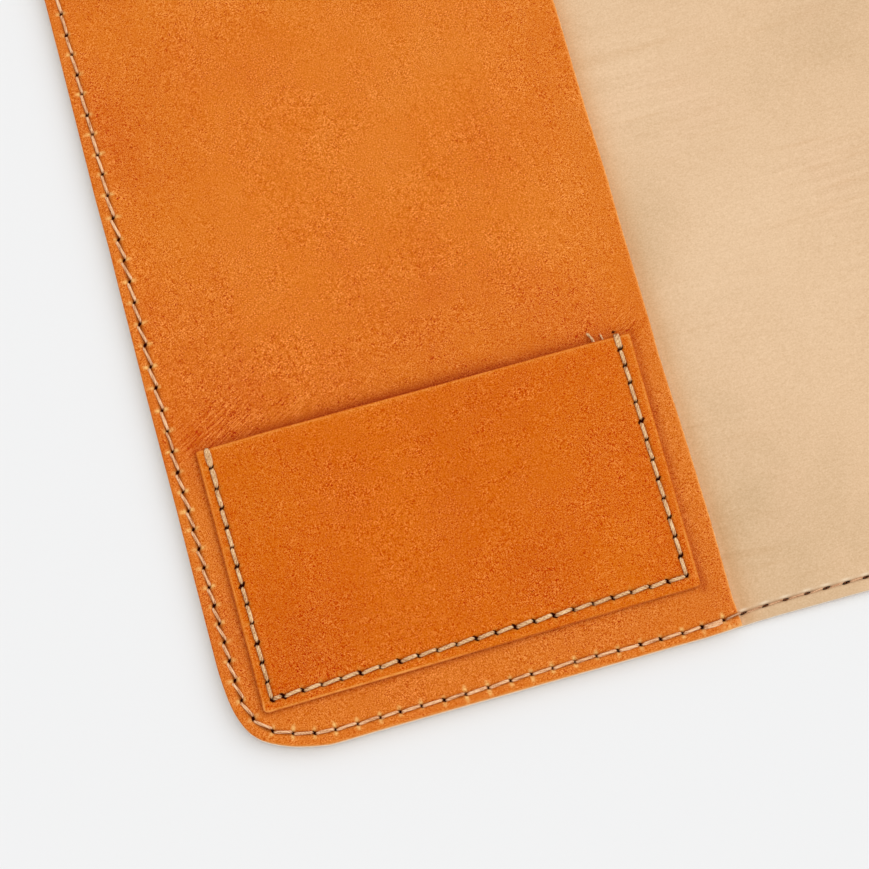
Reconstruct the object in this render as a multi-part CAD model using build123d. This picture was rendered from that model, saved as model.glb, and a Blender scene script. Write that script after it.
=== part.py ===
from build123d import *
import os

os.makedirs("parts", exist_ok=True)

# Leather notebook cover for an A5 notebook, lying open with its inside up.
# Millimetres. Origin at the centre of the open cover, on the surface it lies on.
# +X runs along the long side, from the front cover (-X) over the spine to the
# back cover (+X). +Y points to the head of the pages, +Z up, out of the inside.

# ---- outline ----------------------------------------------------------------
OPEN_W = 336.0          # open width, edge to edge
OPEN_H = 222.0          # height: a 210 mm page, two seams and easing room
SPINE_W = 20.0          # bending zone between the two fold lines
CORNER_R = 17.3         # rounded outer corners

# ---- leather ----------------------------------------------------------------
T_SHELL = 1.8           # outer cover, one ply
T_FLAP = 1.5            # flaps that hold the notebook's covers
T_POCKET = 1.2          # business-card pocket
SLEEVE_GAP = 0.8        # room under the free part of a flap
POCKET_GAP = 0.4        # room inside the empty pocket

# ---- flaps ------------------------------------------------------------------
FLAP_W = 111.25         # from the outer edge to the flap's free edge
MARGIN_W = 6.0          # band of the flap that is sewn down on three sides
PANEL_CLEAR = 0.2       # between the sewn band and the panel that can lift

# ---- card pocket ------------------------------------------------------------
POCKET_W, POCKET_H = 98.0, 58.5
POCKET_X0 = -160.66     # outer side edge
POCKET_Y0 = -100.76     # lower edge
POCKET_R = 0.8          # barely broken corners
POCKET_SEAM_W = 4.5     # width of the sewn strips

# ---- thread -----------------------------------------------------------------
SEAM_INSET = 3.2        # perimeter seam, from the edge to the thread's centre
THREAD_W, THREAD_T = 0.8, 0.4
GROOVE_W, GROOVE_D = 1.0, 0.5   # stitching groove on the outside of the cover
POCKET_SEAM_INSET = 2.7
POCKET_THREAD_W = 1.0
TACK_L, TACK_W = 8.7, 1.9       # doubled stitches at both ends of the pocket's mouth
FOLD_RELIEF = 0.6       # no thread stands closer than this to a fold line

Z_SHELL = T_SHELL
Z_MARGIN = Z_SHELL + T_FLAP
Z_PANEL0 = Z_SHELL + SLEEVE_GAP
Z_PANEL = Z_PANEL0 + T_FLAP
Z_POCKET0 = Z_PANEL + POCKET_GAP
Z_POCKET = Z_POCKET0 + T_POCKET
HALF_W, HALF_H, FOLD_X = OPEN_W / 2, OPEN_H / 2, SPINE_W / 2
FREE_X = HALF_W - FLAP_W        # distance of each flap's free edge from the middle


def outline(inset, z0, z1):
    """The cover's rounded outline, set in by inset, from z0 up to z1."""
    face = RectangleRounded(OPEN_W - 2 * inset, OPEN_H - 2 * inset, CORNER_R - inset)
    return extrude(Pos(0, 0, z0) * face, amount=z1 - z0)


def block(x0, x1, y0, y1, z0, z1):
    return Pos((x0 + x1) / 2, (y0 + y1) / 2, (z0 + z1) / 2) * Box(
        x1 - x0, y1 - y0, z1 - z0
    )


def slab(x0, x1):
    """A tall block that cuts out the stretch from x0 to x1."""
    return block(x0, x1, -HALF_H - 5, HALF_H + 5, -5, 20)


def ring(inset, width, z0, z1):
    """A band along the edge, centred on inset."""
    return outline(inset - width / 2, z0, z1) - outline(
        inset + width / 2, z0 - 1, z1 + 1
    )


made = {}

# ---- outer cover ------------------------------------------------------------
# One piece of leather. It is three plates here, because it bends at two lines.
grooved = outline(0, 0, T_SHELL) - ring(SEAM_INSET, GROOVE_W, -1, GROOVE_D)
made["shell_front"] = grooved & slab(-HALF_W - 5, -FOLD_X)
made["shell_spine"] = grooved & slab(-FOLD_X, FOLD_X)
made["shell_back"] = grooved & slab(FOLD_X, HALF_W + 5)

# ---- flaps ------------------------------------------------------------------
# Each flap is one piece: a band sewn down on three sides, and the free panel
# inside it, which lifts at its free edge to let the notebook's cover in.
margin = outline(0, Z_SHELL, Z_MARGIN) - outline(MARGIN_W, Z_SHELL - 1, Z_MARGIN + 1)
panel = outline(MARGIN_W + PANEL_CLEAR, Z_PANEL0, Z_PANEL)
front_zone, back_zone = slab(-HALF_W - 5, -FREE_X), slab(FREE_X, HALF_W + 5)
made["front_flap_margin"] = margin & front_zone
made["back_flap_margin"] = margin & back_zone

# Stitch line of the card pocket: both sides and the lower edge.
px0, px1 = POCKET_X0, POCKET_X0 + POCKET_W
py0, py1 = POCKET_Y0, POCKET_Y0 + POCKET_H


def pocket_seam(width, z0, z1):
    """The three-sided seam of the pocket, open at the mouth (+Y)."""
    i, h = POCKET_SEAM_INSET, width / 2
    outer = block(px0 + i - h, px1 - i + h, py0 + i - h, py1 - 0.5, z0, z1)
    inner = block(px0 + i + h, px1 - i - h, py0 + i + h, py1 + 5, z0 - 1, z1 + 1)
    return outer - inner


made["front_flap_panel"] = (panel & front_zone) - pocket_seam(
    POCKET_THREAD_W + 0.2, Z_PANEL0 - 1, Z_PANEL0 + GROOVE_D
)
made["back_flap_panel"] = panel & back_zone

# ---- card pocket ------------------------------------------------------------
# The plate and the three sewn strips under it are one piece of leather; the
# strips stay separate solids so that the room for the cards stays open.
plate = extrude(
    Pos((px0 + px1) / 2, (py0 + py1) / 2, Z_POCKET0)
    * RectangleRounded(POCKET_W, POCKET_H, POCKET_R),
    amount=T_POCKET,
)
s = POCKET_SEAM_W
made["card_pocket"] = Compound(
    children=[
        plate,
        block(px0 + 0.2, px0 + s, py0 + 0.2, py1 - 0.2, Z_PANEL, Z_POCKET0),
        block(px1 - s, px1 - 0.2, py0 + 0.2, py1 - 0.2, Z_PANEL, Z_POCKET0),
        block(px0 + s, px1 - s, py0 + 0.2, py0 + s, Z_PANEL, Z_POCKET0),
    ]
)

# ---- pocket seam ------------------------------------------------------------
tacks = []
for x in (px0 + POCKET_SEAM_INSET, px1 - POCKET_SEAM_INSET):
    tacks.append(
        block(
            x - TACK_W / 2,
            x + TACK_W / 2,
            py1 - 0.5 - TACK_L,
            py1 - 0.5,
            Z_POCKET,
            Z_POCKET + THREAD_T,
        )
    )
made["pocket_needle_thread"] = (
    pocket_seam(POCKET_THREAD_W, Z_POCKET, Z_POCKET + THREAD_T) + tacks[0] + tacks[1]
)
made["pocket_bobbin_thread"] = pocket_seam(
    POCKET_THREAD_W - 0.2, Z_PANEL0 + 0.05, Z_PANEL0 + 0.05 + THREAD_T
)

# ---- perimeter seam ---------------------------------------------------------
# The needle thread lies on the flaps, steps down at their free edges and goes on
# over the open leather. The bobbin thread lies in the groove outside.
high = ring(SEAM_INSET, THREAD_W, Z_MARGIN, Z_MARGIN + THREAD_T)
low = ring(SEAM_INSET, THREAD_W, Z_SHELL, Z_SHELL + THREAD_T)
step = ring(SEAM_INSET, THREAD_W, Z_SHELL, Z_MARGIN + THREAD_T)
bobbin = ring(SEAM_INSET, THREAD_W, 0.05, 0.05 + THREAD_T)
d = THREAD_T
made["front_needle_thread"] = (
    (high & slab(-HALF_W, -FREE_X))
    + (step & slab(-FREE_X, -FREE_X + d))
    + (low & slab(-FREE_X + d, -FOLD_X - FOLD_RELIEF))
)
made["spine_needle_thread"] = low & slab(-FOLD_X + FOLD_RELIEF, FOLD_X - FOLD_RELIEF)
made["back_needle_thread"] = (
    (low & slab(FOLD_X + FOLD_RELIEF, FREE_X - d))
    + (step & slab(FREE_X - d, FREE_X))
    + (high & slab(FREE_X, HALF_W))
)
made["front_bobbin_thread"] = bobbin & slab(-HALF_W, -FOLD_X)
made["spine_bobbin_thread"] = bobbin & slab(-FOLD_X, FOLD_X)
made["back_bobbin_thread"] = bobbin & slab(FOLD_X, HALF_W)

for name, shape in made.items():
    export_step(shape, f"parts/{name}.step")
print(len(made), "nodes, height", Z_POCKET + THREAD_T)
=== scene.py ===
import math

import bmesh
import bpy
import numpy as np
from mathutils import Matrix, Vector, kdtree
from mathutils.geometry import delaunay_2d_cdt


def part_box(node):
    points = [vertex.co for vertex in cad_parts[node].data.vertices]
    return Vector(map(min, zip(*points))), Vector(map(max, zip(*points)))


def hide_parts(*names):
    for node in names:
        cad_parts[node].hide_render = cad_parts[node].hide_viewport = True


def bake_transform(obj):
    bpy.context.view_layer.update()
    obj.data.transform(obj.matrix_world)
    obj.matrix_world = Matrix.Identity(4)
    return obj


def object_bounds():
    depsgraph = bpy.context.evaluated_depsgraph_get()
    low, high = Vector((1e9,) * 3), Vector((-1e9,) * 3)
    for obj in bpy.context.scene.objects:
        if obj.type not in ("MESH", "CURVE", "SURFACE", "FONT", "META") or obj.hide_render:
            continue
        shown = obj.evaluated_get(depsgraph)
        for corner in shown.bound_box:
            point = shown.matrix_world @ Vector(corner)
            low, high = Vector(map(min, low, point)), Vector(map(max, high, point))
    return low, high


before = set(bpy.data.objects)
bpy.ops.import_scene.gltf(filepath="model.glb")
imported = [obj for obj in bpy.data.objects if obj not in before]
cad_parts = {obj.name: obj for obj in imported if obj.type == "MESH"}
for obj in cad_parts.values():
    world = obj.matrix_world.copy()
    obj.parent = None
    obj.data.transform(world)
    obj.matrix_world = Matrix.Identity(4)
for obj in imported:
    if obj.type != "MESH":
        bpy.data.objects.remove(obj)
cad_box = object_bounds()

# Everything below is worked out in millimetres in the frame of the CAD model
# and scaled to metres when a mesh is made.
MM = 0.001


def box_mm(node):
    lo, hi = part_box(node)
    return np.array(lo) * 1000, np.array(hi) * 1000


# ------------------------------------------------------------------ CAD sizes
HALF_W, HALF_H = (float(cad_box[1][i]) * 1000 for i in (0, 1))
FREE = -float(box_mm("front_flap_margin")[1][0])  # free edge, from the middle
FOLD = float(box_mm("shell_spine")[1][0])
T_SHELL = float(box_mm("shell_back")[1][2])
T_FLAP = float(box_mm("front_flap_margin")[1][2]) - T_SHELL
PLO, PHI = box_mm("card_pocket")
PX0, PY0, PX1, PY1 = PLO[0], PLO[1], PHI[0], PHI[1]
T_POCKET = 1.2
SEAM = 3.2
P_SEAM = 2.7
SPLIT_X = 5.5  # where the two halves of the shell meet, on the spine
SPLIT_Y = 66.0  # where the two halves of the front flap meet


# --------------------------------------------------------------------- camera
def make_camera():
    phi, tilt, dist = math.radians(15.658), math.radians(12.0), 0.5246
    aim = Vector((-0.109159, -0.051769, 0.0))
    right = Vector((math.cos(phi), -math.sin(phi), 0))
    flat_up = Vector((math.sin(phi), math.cos(phi), 0))
    back = Vector((0, 0, 1)) * math.cos(tilt) - flat_up * math.sin(tilt)
    up = flat_up * math.cos(tilt) + Vector((0, 0, 1)) * math.sin(tilt)
    data = bpy.data.cameras.new("camera")
    data.sensor_width = 36.0
    data.lens = 2385.36 * 36.0 / 869.0
    data.clip_start, data.clip_end = 0.01, 50
    cam = bpy.data.objects.new("camera", data)
    bpy.context.scene.collection.objects.link(cam)
    turn = Matrix((right, up, back)).transposed().to_4x4()
    turn.translation = aim + back * dist
    cam.matrix_world = turn
    bpy.context.scene.camera = cam


make_camera()


# ------------------------------------------------------------------ small math
def smooth(t):
    t = np.clip(t, 0.0, 1.0)
    return t * t * (3 - 2 * t)


def bump(r2):
    return np.exp(-r2)


def waves(x, y, seed, lo, hi, n=12):
    """A calm random surface of about unit size, with wavelengths from lo to hi."""
    rng = np.random.default_rng(seed)
    z = np.zeros_like(np.asarray(x, float))
    for _ in range(n):
        lam = lo * (hi / lo) ** rng.random()
        a, ph = rng.random() * 2 * math.pi, rng.random() * 2 * math.pi
        z = z + np.sin((x * math.cos(a) + y * math.sin(a)) * 2 * math.pi / lam + ph)
    return z / math.sqrt(n)


def resample(pts, step, closed=True):
    pts = np.asarray(pts, float)
    p = np.vstack([pts, pts[:1]]) if closed else pts
    seg = np.linalg.norm(np.diff(p, axis=0), axis=1)
    at = np.concatenate([[0], np.cumsum(seg)])
    n = max(2, int(round(at[-1] / step)))
    u = np.linspace(0, at[-1], n + 1)
    q = np.stack([np.interp(u, at, p[:, k]) for k in (0, 1)], 1)
    return q[:-1] if closed else q


def soften(p, times):
    for _ in range(times):
        p = 0.5 * p + 0.25 * (np.roll(p, 1, 0) + np.roll(p, -1, 0))
    return p


def normals_of(p, closed=True):
    """Unit normals to the left of a path."""
    if closed:
        t = np.roll(p, -1, 0) - np.roll(p, 1, 0)
    else:
        t = np.gradient(p, axis=0)
    t = t / np.maximum(np.linalg.norm(t, axis=1, keepdims=True), 1e-9)
    return np.stack([-t[:, 1], t[:, 0]], 1), t


# ------------------------------------------------------------------- outlines
# Corner cut by hand: distance from the side edge, distance from the end edge.
CORNER = [
    (0.0, 22.5), (0.08, 20.6), (0.25, 18.65), (0.47, 16.65), (0.74, 14.55),
    (1.15, 12.45), (1.75, 10.4), (2.58, 8.35), (3.72, 6.45), (5.28, 4.85),
    (7.17, 3.62), (9.1, 2.68), (11.05, 1.88), (13.12, 1.26), (15.11, 0.78),
    (17.2, 0.37), (19.2, 0.03), (21.0, 0.0),
]


# How far the hand-cut edge wanders outward: x, y, distance.
CUT_WANDER = [
    (-168, 92, -0.12), (-168, 68, -0.42), (-168, 56, -0.37), (-168, 44, -0.29), (-168, 32, -0.19),
    (-168, 20, -0.12), (-168, 8, -0.27), (-168, -4, -0.12), (-168, -16, -0.04), (-168, -28, 0.02),
    (-168, -52, -0.04), (-168, -70, 0.06), (-168, -88, 0.06), (-167.4, -94, 0.18), (-166, -99.5, 0.34),
    (-163.3, -104.5, 0.45), (-160, -107.6, 0.46), (-155, -109.6, 0.46), (-150, -110.7, 0.46),
    (-145, -111, 0.44), (-138, -111, 0.34), (-128, -111, 0.30), (-120, -111, 0.28), (-112, -111, 0.26),
    (-100, -111, 0.21), (-92, -111, 0.20), (-84, -111, 0.19), (-75, -111, 0.15), (-70, -111, 0.14),
    (-65, -111, 0.15), (-61, -111, 0.0), (-57, -111, -0.24), (-54, -111, -0.26), (-48, -111, -0.36),
    (-30, -111, -0.26), (-10, -111, -0.15),
]


def make_outline():
    """The cut edge of the cover, counter-clockwise, from the lower left corner."""
    def corner(sx, sy, rev):
        c = [(sx * (HALF_W - a), sy * (HALF_H - b)) for a, b in CORNER]
        return c[::-1] if rev else c

    pts = corner(-1, -1, False) + corner(1, -1, True)
    pts += corner(1, 1, False) + corner(-1, 1, True)
    p = resample(pts, 0.25)
    n, _ = normals_of(p)
    s = np.arange(len(p)) * 0.25
    length = len(p) * 0.25
    rng = np.random.default_rng(5)
    wob = np.zeros(len(p))
    for k in range(3, 40):
        wob += rng.normal() / k**0.9 * np.sin(2 * math.pi * k * s / length + rng.random() * 6.28)
    wob *= 0.05
    # the open leather between the flaps was trimmed a little further in
    open_zone = smooth((FREE - 0.6 - np.abs(p[:, 0])) / 2.5) * (np.abs(p[:, 1]) > HALF_H - 5)
    knots = np.array(CUT_WANDER)
    at = [float(np.argmin(np.hypot(p[:, 0] - a, p[:, 1] - b))) * 0.25 for a, b, _ in CUT_WANDER]
    wander = np.interp(s, at, knots[:, 2], period=length)
    p = p + n * (0.12 + wob * 0.6 + 0.10 * open_zone - wander)[:, None]
    return soften(p, 3)


OUT = make_outline()
OUT_N, OUT_T = normals_of(OUT)


class Path:
    """A dense path that answers, for many points at once, how far along it and how far to its left they lie."""

    def __init__(self, pts, closed):
        self.p, self.closed = np.asarray(pts, float), closed
        self.n, self.t = normals_of(self.p, closed)
        step = np.linalg.norm(np.diff(np.vstack([self.p, self.p[:1]]), axis=0), axis=1)
        self.s = np.concatenate([[0], np.cumsum(step)])[: len(self.p)]
        self.length = float(self.s[-1] + (step[-1] if closed else 0))
        self.tree = kdtree.KDTree(len(self.p))
        for i, q in enumerate(self.p):
            self.tree.insert((q[0], q[1], 0), i)
        self.tree.balance()

    def find(self, x, y):
        idx = np.fromiter(
            (self.tree.find((a, b, 0))[1] for a, b in zip(x.tolist(), y.tolist())),
            int, len(x),
        )
        v = np.stack([x, y], 1) - self.p[idx]
        s = self.s[idx] + (v * self.t[idx]).sum(1)
        return s, (v * self.n[idx]).sum(1), np.linalg.norm(v, axis=1)

    def at(self, s):
        """Point, tangent and left normal at distance s along."""
        if self.closed:
            s = np.mod(s, self.length)
        q = np.stack([np.interp(s, self.s, self.p[:, k]) for k in (0, 1)], -1)
        t = np.stack([np.interp(s, self.s, self.t[:, k]) for k in (0, 1)], -1)
        t = t / np.linalg.norm(t, axis=-1, keepdims=True)
        return q, t, np.stack([-t[..., 1], t[..., 0]], -1)


EDGE = Path(OUT, True)

# The free edge of a flap is no ruler line either: height, half-width there.
FREE_AT = np.array([
    (-111, 57.08), (-108, 57.15), (-104, 57.36), (-98, 57.22), (-92, 57.08), (-86, 56.99), (-76, 56.95),
    (-64, 56.95), (-56, 57.08), (-48, 57.12), (-42, 56.92), (-34, 56.84), (-26, 56.79), (-18, 56.72),
    (-12, 56.62), (-6, 56.48), (2, 56.52), (10, 56.52), (20, 56.44), (32, 56.28), (50, 56.2), (80, 56.5),
    (111, 56.75),
])


def free_at(y):
    """Distance of a flap's free edge from the middle of the cover at height y."""
    return np.interp(y, FREE_AT[:, 0], FREE_AT[:, 1]) - 0.2 + 0.02 * np.sin(y * 1.9) + 0.015 * np.sin(y * 3.7 + 1)


# Where the needle went through on the front cover's outer corner, x and y.
SEWN = np.array([
    (-164.62, 69.6), (-164.65, 64.5), (-164.70, 59.2), (-164.65, 54.4), (-164.65, 49.3), (-164.75, 44.6),
    (-164.80, 39.4), (-164.75, 34.7), (-164.80, 29.7), (-164.85, 25.0), (-164.92, 19.9), (-165.02, 14.5),
    (-165.08, 9.3), (-165.06, 4.3), (-165.10, -0.8), (-165.24, -5.7), (-165.28, -10.8), (-165.32, -15.8),
    (-165.38, -20.9), (-165.40, -25.8), (-165.40, -31.1), (-165.42, -35.9), (-165.50, -40.6),
    (-165.52, -45.4), (-165.50, -49.9), (-165.45, -54.3), (-165.36, -58.5), (-165.28, -63.0),
    (-165.26, -67.3), (-165.28, -71.7), (-165.24, -75.9), (-165.16, -79.9), (-165.10, -84.1),
    (-165.08, -88.3), (-165.00, -92.7), (-164.75, -97.2), (-163.30, -101.6), (-160.00, -105.3),
    (-155.90, -106.9), (-151.50, -108.1), (-147.00, -108.55), (-142.10, -108.72), (-137.10, -108.68),
    (-132.70, -108.66), (-128.00, -108.7), (-123.00, -108.8), (-118.20, -108.82), (-113.20, -108.8),
    (-108.20, -108.62), (-103.50, -108.5), (-98.80, -108.46), (-93.80, -108.48), (-89.00, -108.5),
    (-84.20, -108.66), (-79.20, -108.7), (-74.70, -108.76), (-69.80, -108.84), (-65.30, -108.66),
    (-60.50, -108.45), (-55.70, -108.05), (-50.60, -107.72), (-46.00, -107.66), (-41.10, -107.62),
    (-36.80, -107.64), (-32.20, -107.7), (-27.80, -107.72),
])


def make_seam():
    """The stitch line, a little under 3 mm in from the cut edge."""
    s, _, r = EDGE.find(SEWN[:, 0], SEWN[:, 1])
    far = np.array([
        (-12, -111, 3.05), (56, -111, 2.9), (150, -111, 2.7), (168, -80, 2.8), (168, 0, 3.0), (168, 60, 2.9),
        (150, 111, 2.7), (56, 111, 2.8), (0, 111, 3.0), (-56, 111, 2.8), (-150, 111, 2.7), (-168, 90, 3.0),
    ])
    s2, _, _ = EDGE.find(far[:, 0], far[:, 1])
    inset = np.interp(EDGE.s, np.concatenate([s, s2]), np.concatenate([r, far[:, 2]]), period=EDGE.length)
    p = OUT + OUT_N * inset[:, None]
    return Path(soften(resample(soften(p, 30), 0.25), 6), True)


SEAM_PATH = make_seam()

# The card pocket was cut a little out of square: its corners, and the sag of its mouth.
P_BL, P_BR, P_TR, P_TL = ((-160.62, -101.4), (-63.08, -100.15), (-61.95, -42.25), (-160.6, -42.35))
P_SAG = 0.25
PW, PH = PX1 - PX0, PY1 - PY0


def from_pocket(q):
    """Takes points of the squared-up pocket to the real one."""
    u, v = (q[:, 0] - PX0) / PW, (q[:, 1] - PY0) / PH
    out = []
    for k in (0, 1):
        low = P_BL[k] * (1 - u) + P_BR[k] * u
        high = P_TL[k] * (1 - u) + P_TR[k] * u
        out.append(low * (1 - v) + high * v)
    out[1] = out[1] - P_SAG * np.sin(math.pi * np.clip(u, 0, 1)) * np.clip(v, 0, 1)
    return np.stack(out, 1)


def to_pocket(x, y):
    """The other way."""
    v = (y - PY0) / PH
    for _ in range(3):
        xl = P_BL[0] * (1 - v) + P_TL[0] * v
        xr = P_BR[0] * (1 - v) + P_TR[0] * v
        u = (x - xl) / (xr - xl)
        yb = P_BL[1] * (1 - u) + P_BR[1] * u
        yt = P_TL[1] * (1 - u) + P_TR[1] * u - P_SAG * np.sin(math.pi * np.clip(u, 0, 1))
        v = (y - yb) / (yt - yb)
    return PX0 + u * PW, PY0 + v * PH


P_SEWN_LEFT = [-42.1, -46.7, -51.5, -56.0, -60.4, -64.9, -69.2, -73.5, -77.7, -82.0, -86.5, -90.7, -95.0]
P_SEWN_FOOT = [
    -158.35, -155.85, -151.5, -147.3, -143.0, -138.7, -134.3, -130.0, -125.8, -121.6, -117.3, -112.9,
    -108.5, -104.2, -99.9, -95.5, -91.1, -86.7, -82.3, -78.1, -73.9, -69.8,
]
P_SEWN_RIGHT = [-97.3, -92.8, -88.4, -84.1, -79.7, -75.3, -70.9, -66.3, -62.0, -57.6, -53.1, -49.1, -45.2, -41.5]
pocket_line = resample([(-158.15, -42.0), (-158.35, -98.9), (-65.62, -97.3), (-64.95, -41.4)], 0.2, closed=False)
POCKET_PATH = Path(pocket_line, False)


def perimeter_holes():
    """Needle holes as distances along the seam: the ones above, then evenly on round the cover."""
    rng = np.random.default_rng(21)
    known, _, _ = SEAM_PATH.find(SEWN[:, 0], SEWN[:, 1])
    known = np.mod(known, SEAM_PATH.length)
    first, last = known[0], known[-1]
    n = int(round((first - last) / 4.85))
    rest = last + (first - last) * np.arange(1, n) / n + rng.normal(size=n - 1) * 0.08
    return np.sort(np.concatenate([known, rest]))


HOLES = perimeter_holes()


def pocket_holes():
    pts = [(-158.2, y) for y in P_SEWN_LEFT] + [(x, -98.9 + (x + 158.35) * 0.01726) for x in P_SEWN_FOOT]
    pts += [(-65.62 + (y + 97.3) * 0.01205, y) for y in P_SEWN_RIGHT]
    pts = np.array(pts)
    s, _, _ = POCKET_PATH.find(pts[:, 0], pts[:, 1])
    return s


P_HOLES = pocket_holes()


def near_hole(s, holes, total=None, which=False):
    """Signed distance along the seam to the nearest hole, and which hole that is."""
    if total:
        h = np.concatenate([holes[-1:] - total, holes, holes[:1] + total])
    else:
        h = holes
    i = np.clip(np.searchsorted(h, s), 1, len(h) - 1)
    a, b = s - h[i - 1], s - h[i]
    first = np.abs(a) < np.abs(b)
    if which:
        return np.where(first, a, b), np.where(first, i - 1, i) % len(holes)
    return np.where(first, a, b)


def hole_luck(holes):
    """How open each hole was left, 0 to 1."""
    luck = np.random.default_rng(len(holes)).random(len(holes))
    if len(holes) == len(P_HOLES):
        luck[0] = 0.0
        return luck
    # the hole where the back-tack starts was pulled wide
    q, _, _ = SEAM_PATH.at(holes)
    d = np.hypot(q[:, 0] + 65.3, q[:, 1] + 108.66)
    luck[np.argsort(d)[:2]] = (1.0, 0.35)
    luck[np.argsort(np.hypot(q[:, 0] + 60.5, q[:, 1] + 108.45))[0]] = 0.2
    return luck


def slit(ds, d, lean, long=0.62, wide=0.27):
    """1 in the middle of the little slanted cut at a hole, 0 away from it."""
    c, q = math.cos(lean), math.sin(lean)
    u, v = ds * c + d * q, -ds * q + d * c
    return bump((u / long) ** 2 + (v / wide) ** 2)


def seam_relief(x, y, path, holes, closed, lean, groove, depth, reach=4.0, long=0.55, wide=0.27):
    """What the stitches do to leather: the height change, and the seam's own coordinates for the material."""
    s, d, r = path.find(x, y)
    ds, i = near_hole(s, holes, path.length if closed else None, which=True)
    if closed:
        i = (i - 1) % len(holes)  # the first entry was wrapped round from the end
    on = r < reach
    g = np.where(on, bump((d / 0.62) ** 2), 0)
    pit = np.where(on, slit(ds, d, lean, long, wide), 0)
    # leather bulges beside each stitch and is drawn in at the holes
    between = 0.5 - 0.5 * np.cos(np.clip(np.abs(ds) / 2.2, 0, 1) * math.pi)
    rise = np.where(on, bump(((np.abs(d) - 1.15) / 0.65) ** 2), 0) * (0.2 + 0.8 * between)
    h = -groove * g * (0.75 + 0.25 * (1 - between)) - depth * pit + 0.09 * rise
    seam = {
        "hs": np.where(on, np.abs(ds), 9.0),
        "hd": np.where(on, d, 9.0),
        "hx": np.where(on, ds * d, 0.0),
        "hr": np.where(on, hole_luck(holes)[i], 0.5),
    }
    return h, seam


# -------------------------------------------------------------- height fields
def edge_round(d, radius, drop):
    """How far a cut edge falls away within radius of its rim."""
    t = np.clip(1 - d / radius, 0, 1)
    return drop * (1 - np.sqrt(np.clip(1 - t * t, 0, 1)))


def floor_lift(x, y):
    """The outside of the cover, which lies on the table and lifts a touch here and there."""
    _, d, _ = EDGE.find(x, y)
    w = 0.06 + 0.03 * waves(x, y, 41, 40, 110)
    curl = 0.10 * bump((d / 9.0) ** 2) * (0.6 + 0.4 * waves(x, y, 44, 50, 120))
    return np.maximum(w, 0.02) + np.maximum(curl, 0), d


def sewn_distance(x, y):
    """Distance from the three sewn edges of a flap, rounded where they meet."""
    a = HALF_W - np.abs(x)
    b = HALF_H - np.abs(y)
    k = 9.0
    h = np.clip(0.5 + 0.5 * (b - a) / k, 0, 1)
    return b * (1 - h) + a * h - k * h * (1 - h)


def mouth_arch(x, y):
    """1 over the middle of the pocket's mouth, fading to its ends."""
    X, _ = to_pocket(x, y)
    u = np.clip((X - PX0 - 3.0) / (PW - 6.0), 0, 1)
    return np.sin(math.pi * u) ** 0.7 * (1.08 - 0.25 * u)


def flap_gap(x, y):
    """Room between the shell and the free part of a flap. The flap lies close along its free edge and
    sinks a little in front of the pocket's mouth."""
    e = sewn_distance(x, y)
    f = np.abs(x) - FREE
    room = 0.95 * smooth((e - 5.0) / 22.0) * (0.28 + 0.72 * smooth((f - 1.0) / 26.0))
    room = room * (1 + 0.12 * waves(x, y, 52, 60, 130))
    _, Y = to_pocket(x, y)
    v = Y - PY1
    dip = 0.55 * mouth_arch(x, y) * np.where(v > 0, bump((v / 7.0) ** 2), 1.0) * smooth((Y - PY0 - 20) / 30)
    return 0.06 + np.maximum(room - np.where(x < 0, dip, 0), 0.0)


def shell_base(x, y):
    z, _ = floor_lift(x, y)
    return z + T_SHELL - 0.08


def flap_base(x, y):
    """Top of a flap without its fine relief."""
    return shell_base(x, y) + flap_gap(x, y) + T_FLAP


def shell_top(x, y):
    z = shell_base(x, y)
    _, d, _ = EDGE.find(x, y)
    h, seam = seam_relief(x, y, SEAM_PATH, HOLES, True, 0.12, 0.20, 0.8, long=0.8, wide=0.24)
    under_flap = smooth((np.abs(x) - FREE + 0.2) / 0.6)
    h = h * (1 - under_flap)
    # soft wrinkles of the flesh side, mostly along the body of the hide
    wr = 0.030 * waves(x * 0.35, y, 61, 3.0, 7.0, 10) * smooth(0.55 + 0.6 * waves(x, y, 62, 30, 70))
    wr = wr + 0.05 * waves(x, y, 63, 14, 40)
    z = z + h + (wr * (1 - under_flap) - 0.03 * under_flap) - edge_round(d, 0.5, 0.25)
    tone = 0.5 * waves(x, y, 64, 30, 110)
    # the flesh is a shade deeper towards the foot
    tone = tone - 0.40 * smooth((-60 - y) / 50)
    # painted shade beside each flap's free edge, tinted with the orange that the flap's cut edge throws back, eased
    # right at the edge
    in_from = np.maximum(FREE - np.abs(x), 0)
    painted_shade = 0.75 * np.exp(-((in_from / 3.6) ** 2)) + 0.12 * np.exp(-((in_from / 9.0) ** 2))
    painted_shade = painted_shade - 0.30 * np.exp(-((in_from / 0.8) ** 2))
    # painted highlight along the foot of each flap's free edge, lifting the contact shadow there
    tone = tone + 1.6 * np.exp(-((in_from / 0.8) ** 2))
    fields = {"edge": bump((d / 0.45) ** 2), "tone": tone, "painted_shade": painted_shade}
    for k in seam:
        fields[k] = np.where(under_flap < 0.5, seam[k], 0.0 if k in ("hx", "hr") else 9.0)
    return z, fields


def shell_bottom(x, y):
    z, d = floor_lift(x, y)
    h, seam = seam_relief(x, y, SEAM_PATH, HOLES, True, 0.4, 0.34, 0.6)
    z = z - np.minimum(h, 0.0) + edge_round(d, 0.35, 0.14)
    return np.maximum(z, 0.005), {"edge": bump((d / 0.45) ** 2), "tone": 0.5 * waves(x, y, 65, 25, 90), **seam}


def pocket_distance(x, y):
    """Signed distance outside the pocket's outline, negative inside."""
    X, Y = to_pocket(x, y)
    cx, cy = (PX0 + PX1) / 2, (PY0 + PY1) / 2
    qx, qy = np.abs(X - cx) - PW / 2, np.abs(Y - cy) - PH / 2
    return np.hypot(np.maximum(qx, 0), np.maximum(qy, 0)) + np.minimum(np.maximum(qx, qy), 0)


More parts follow.
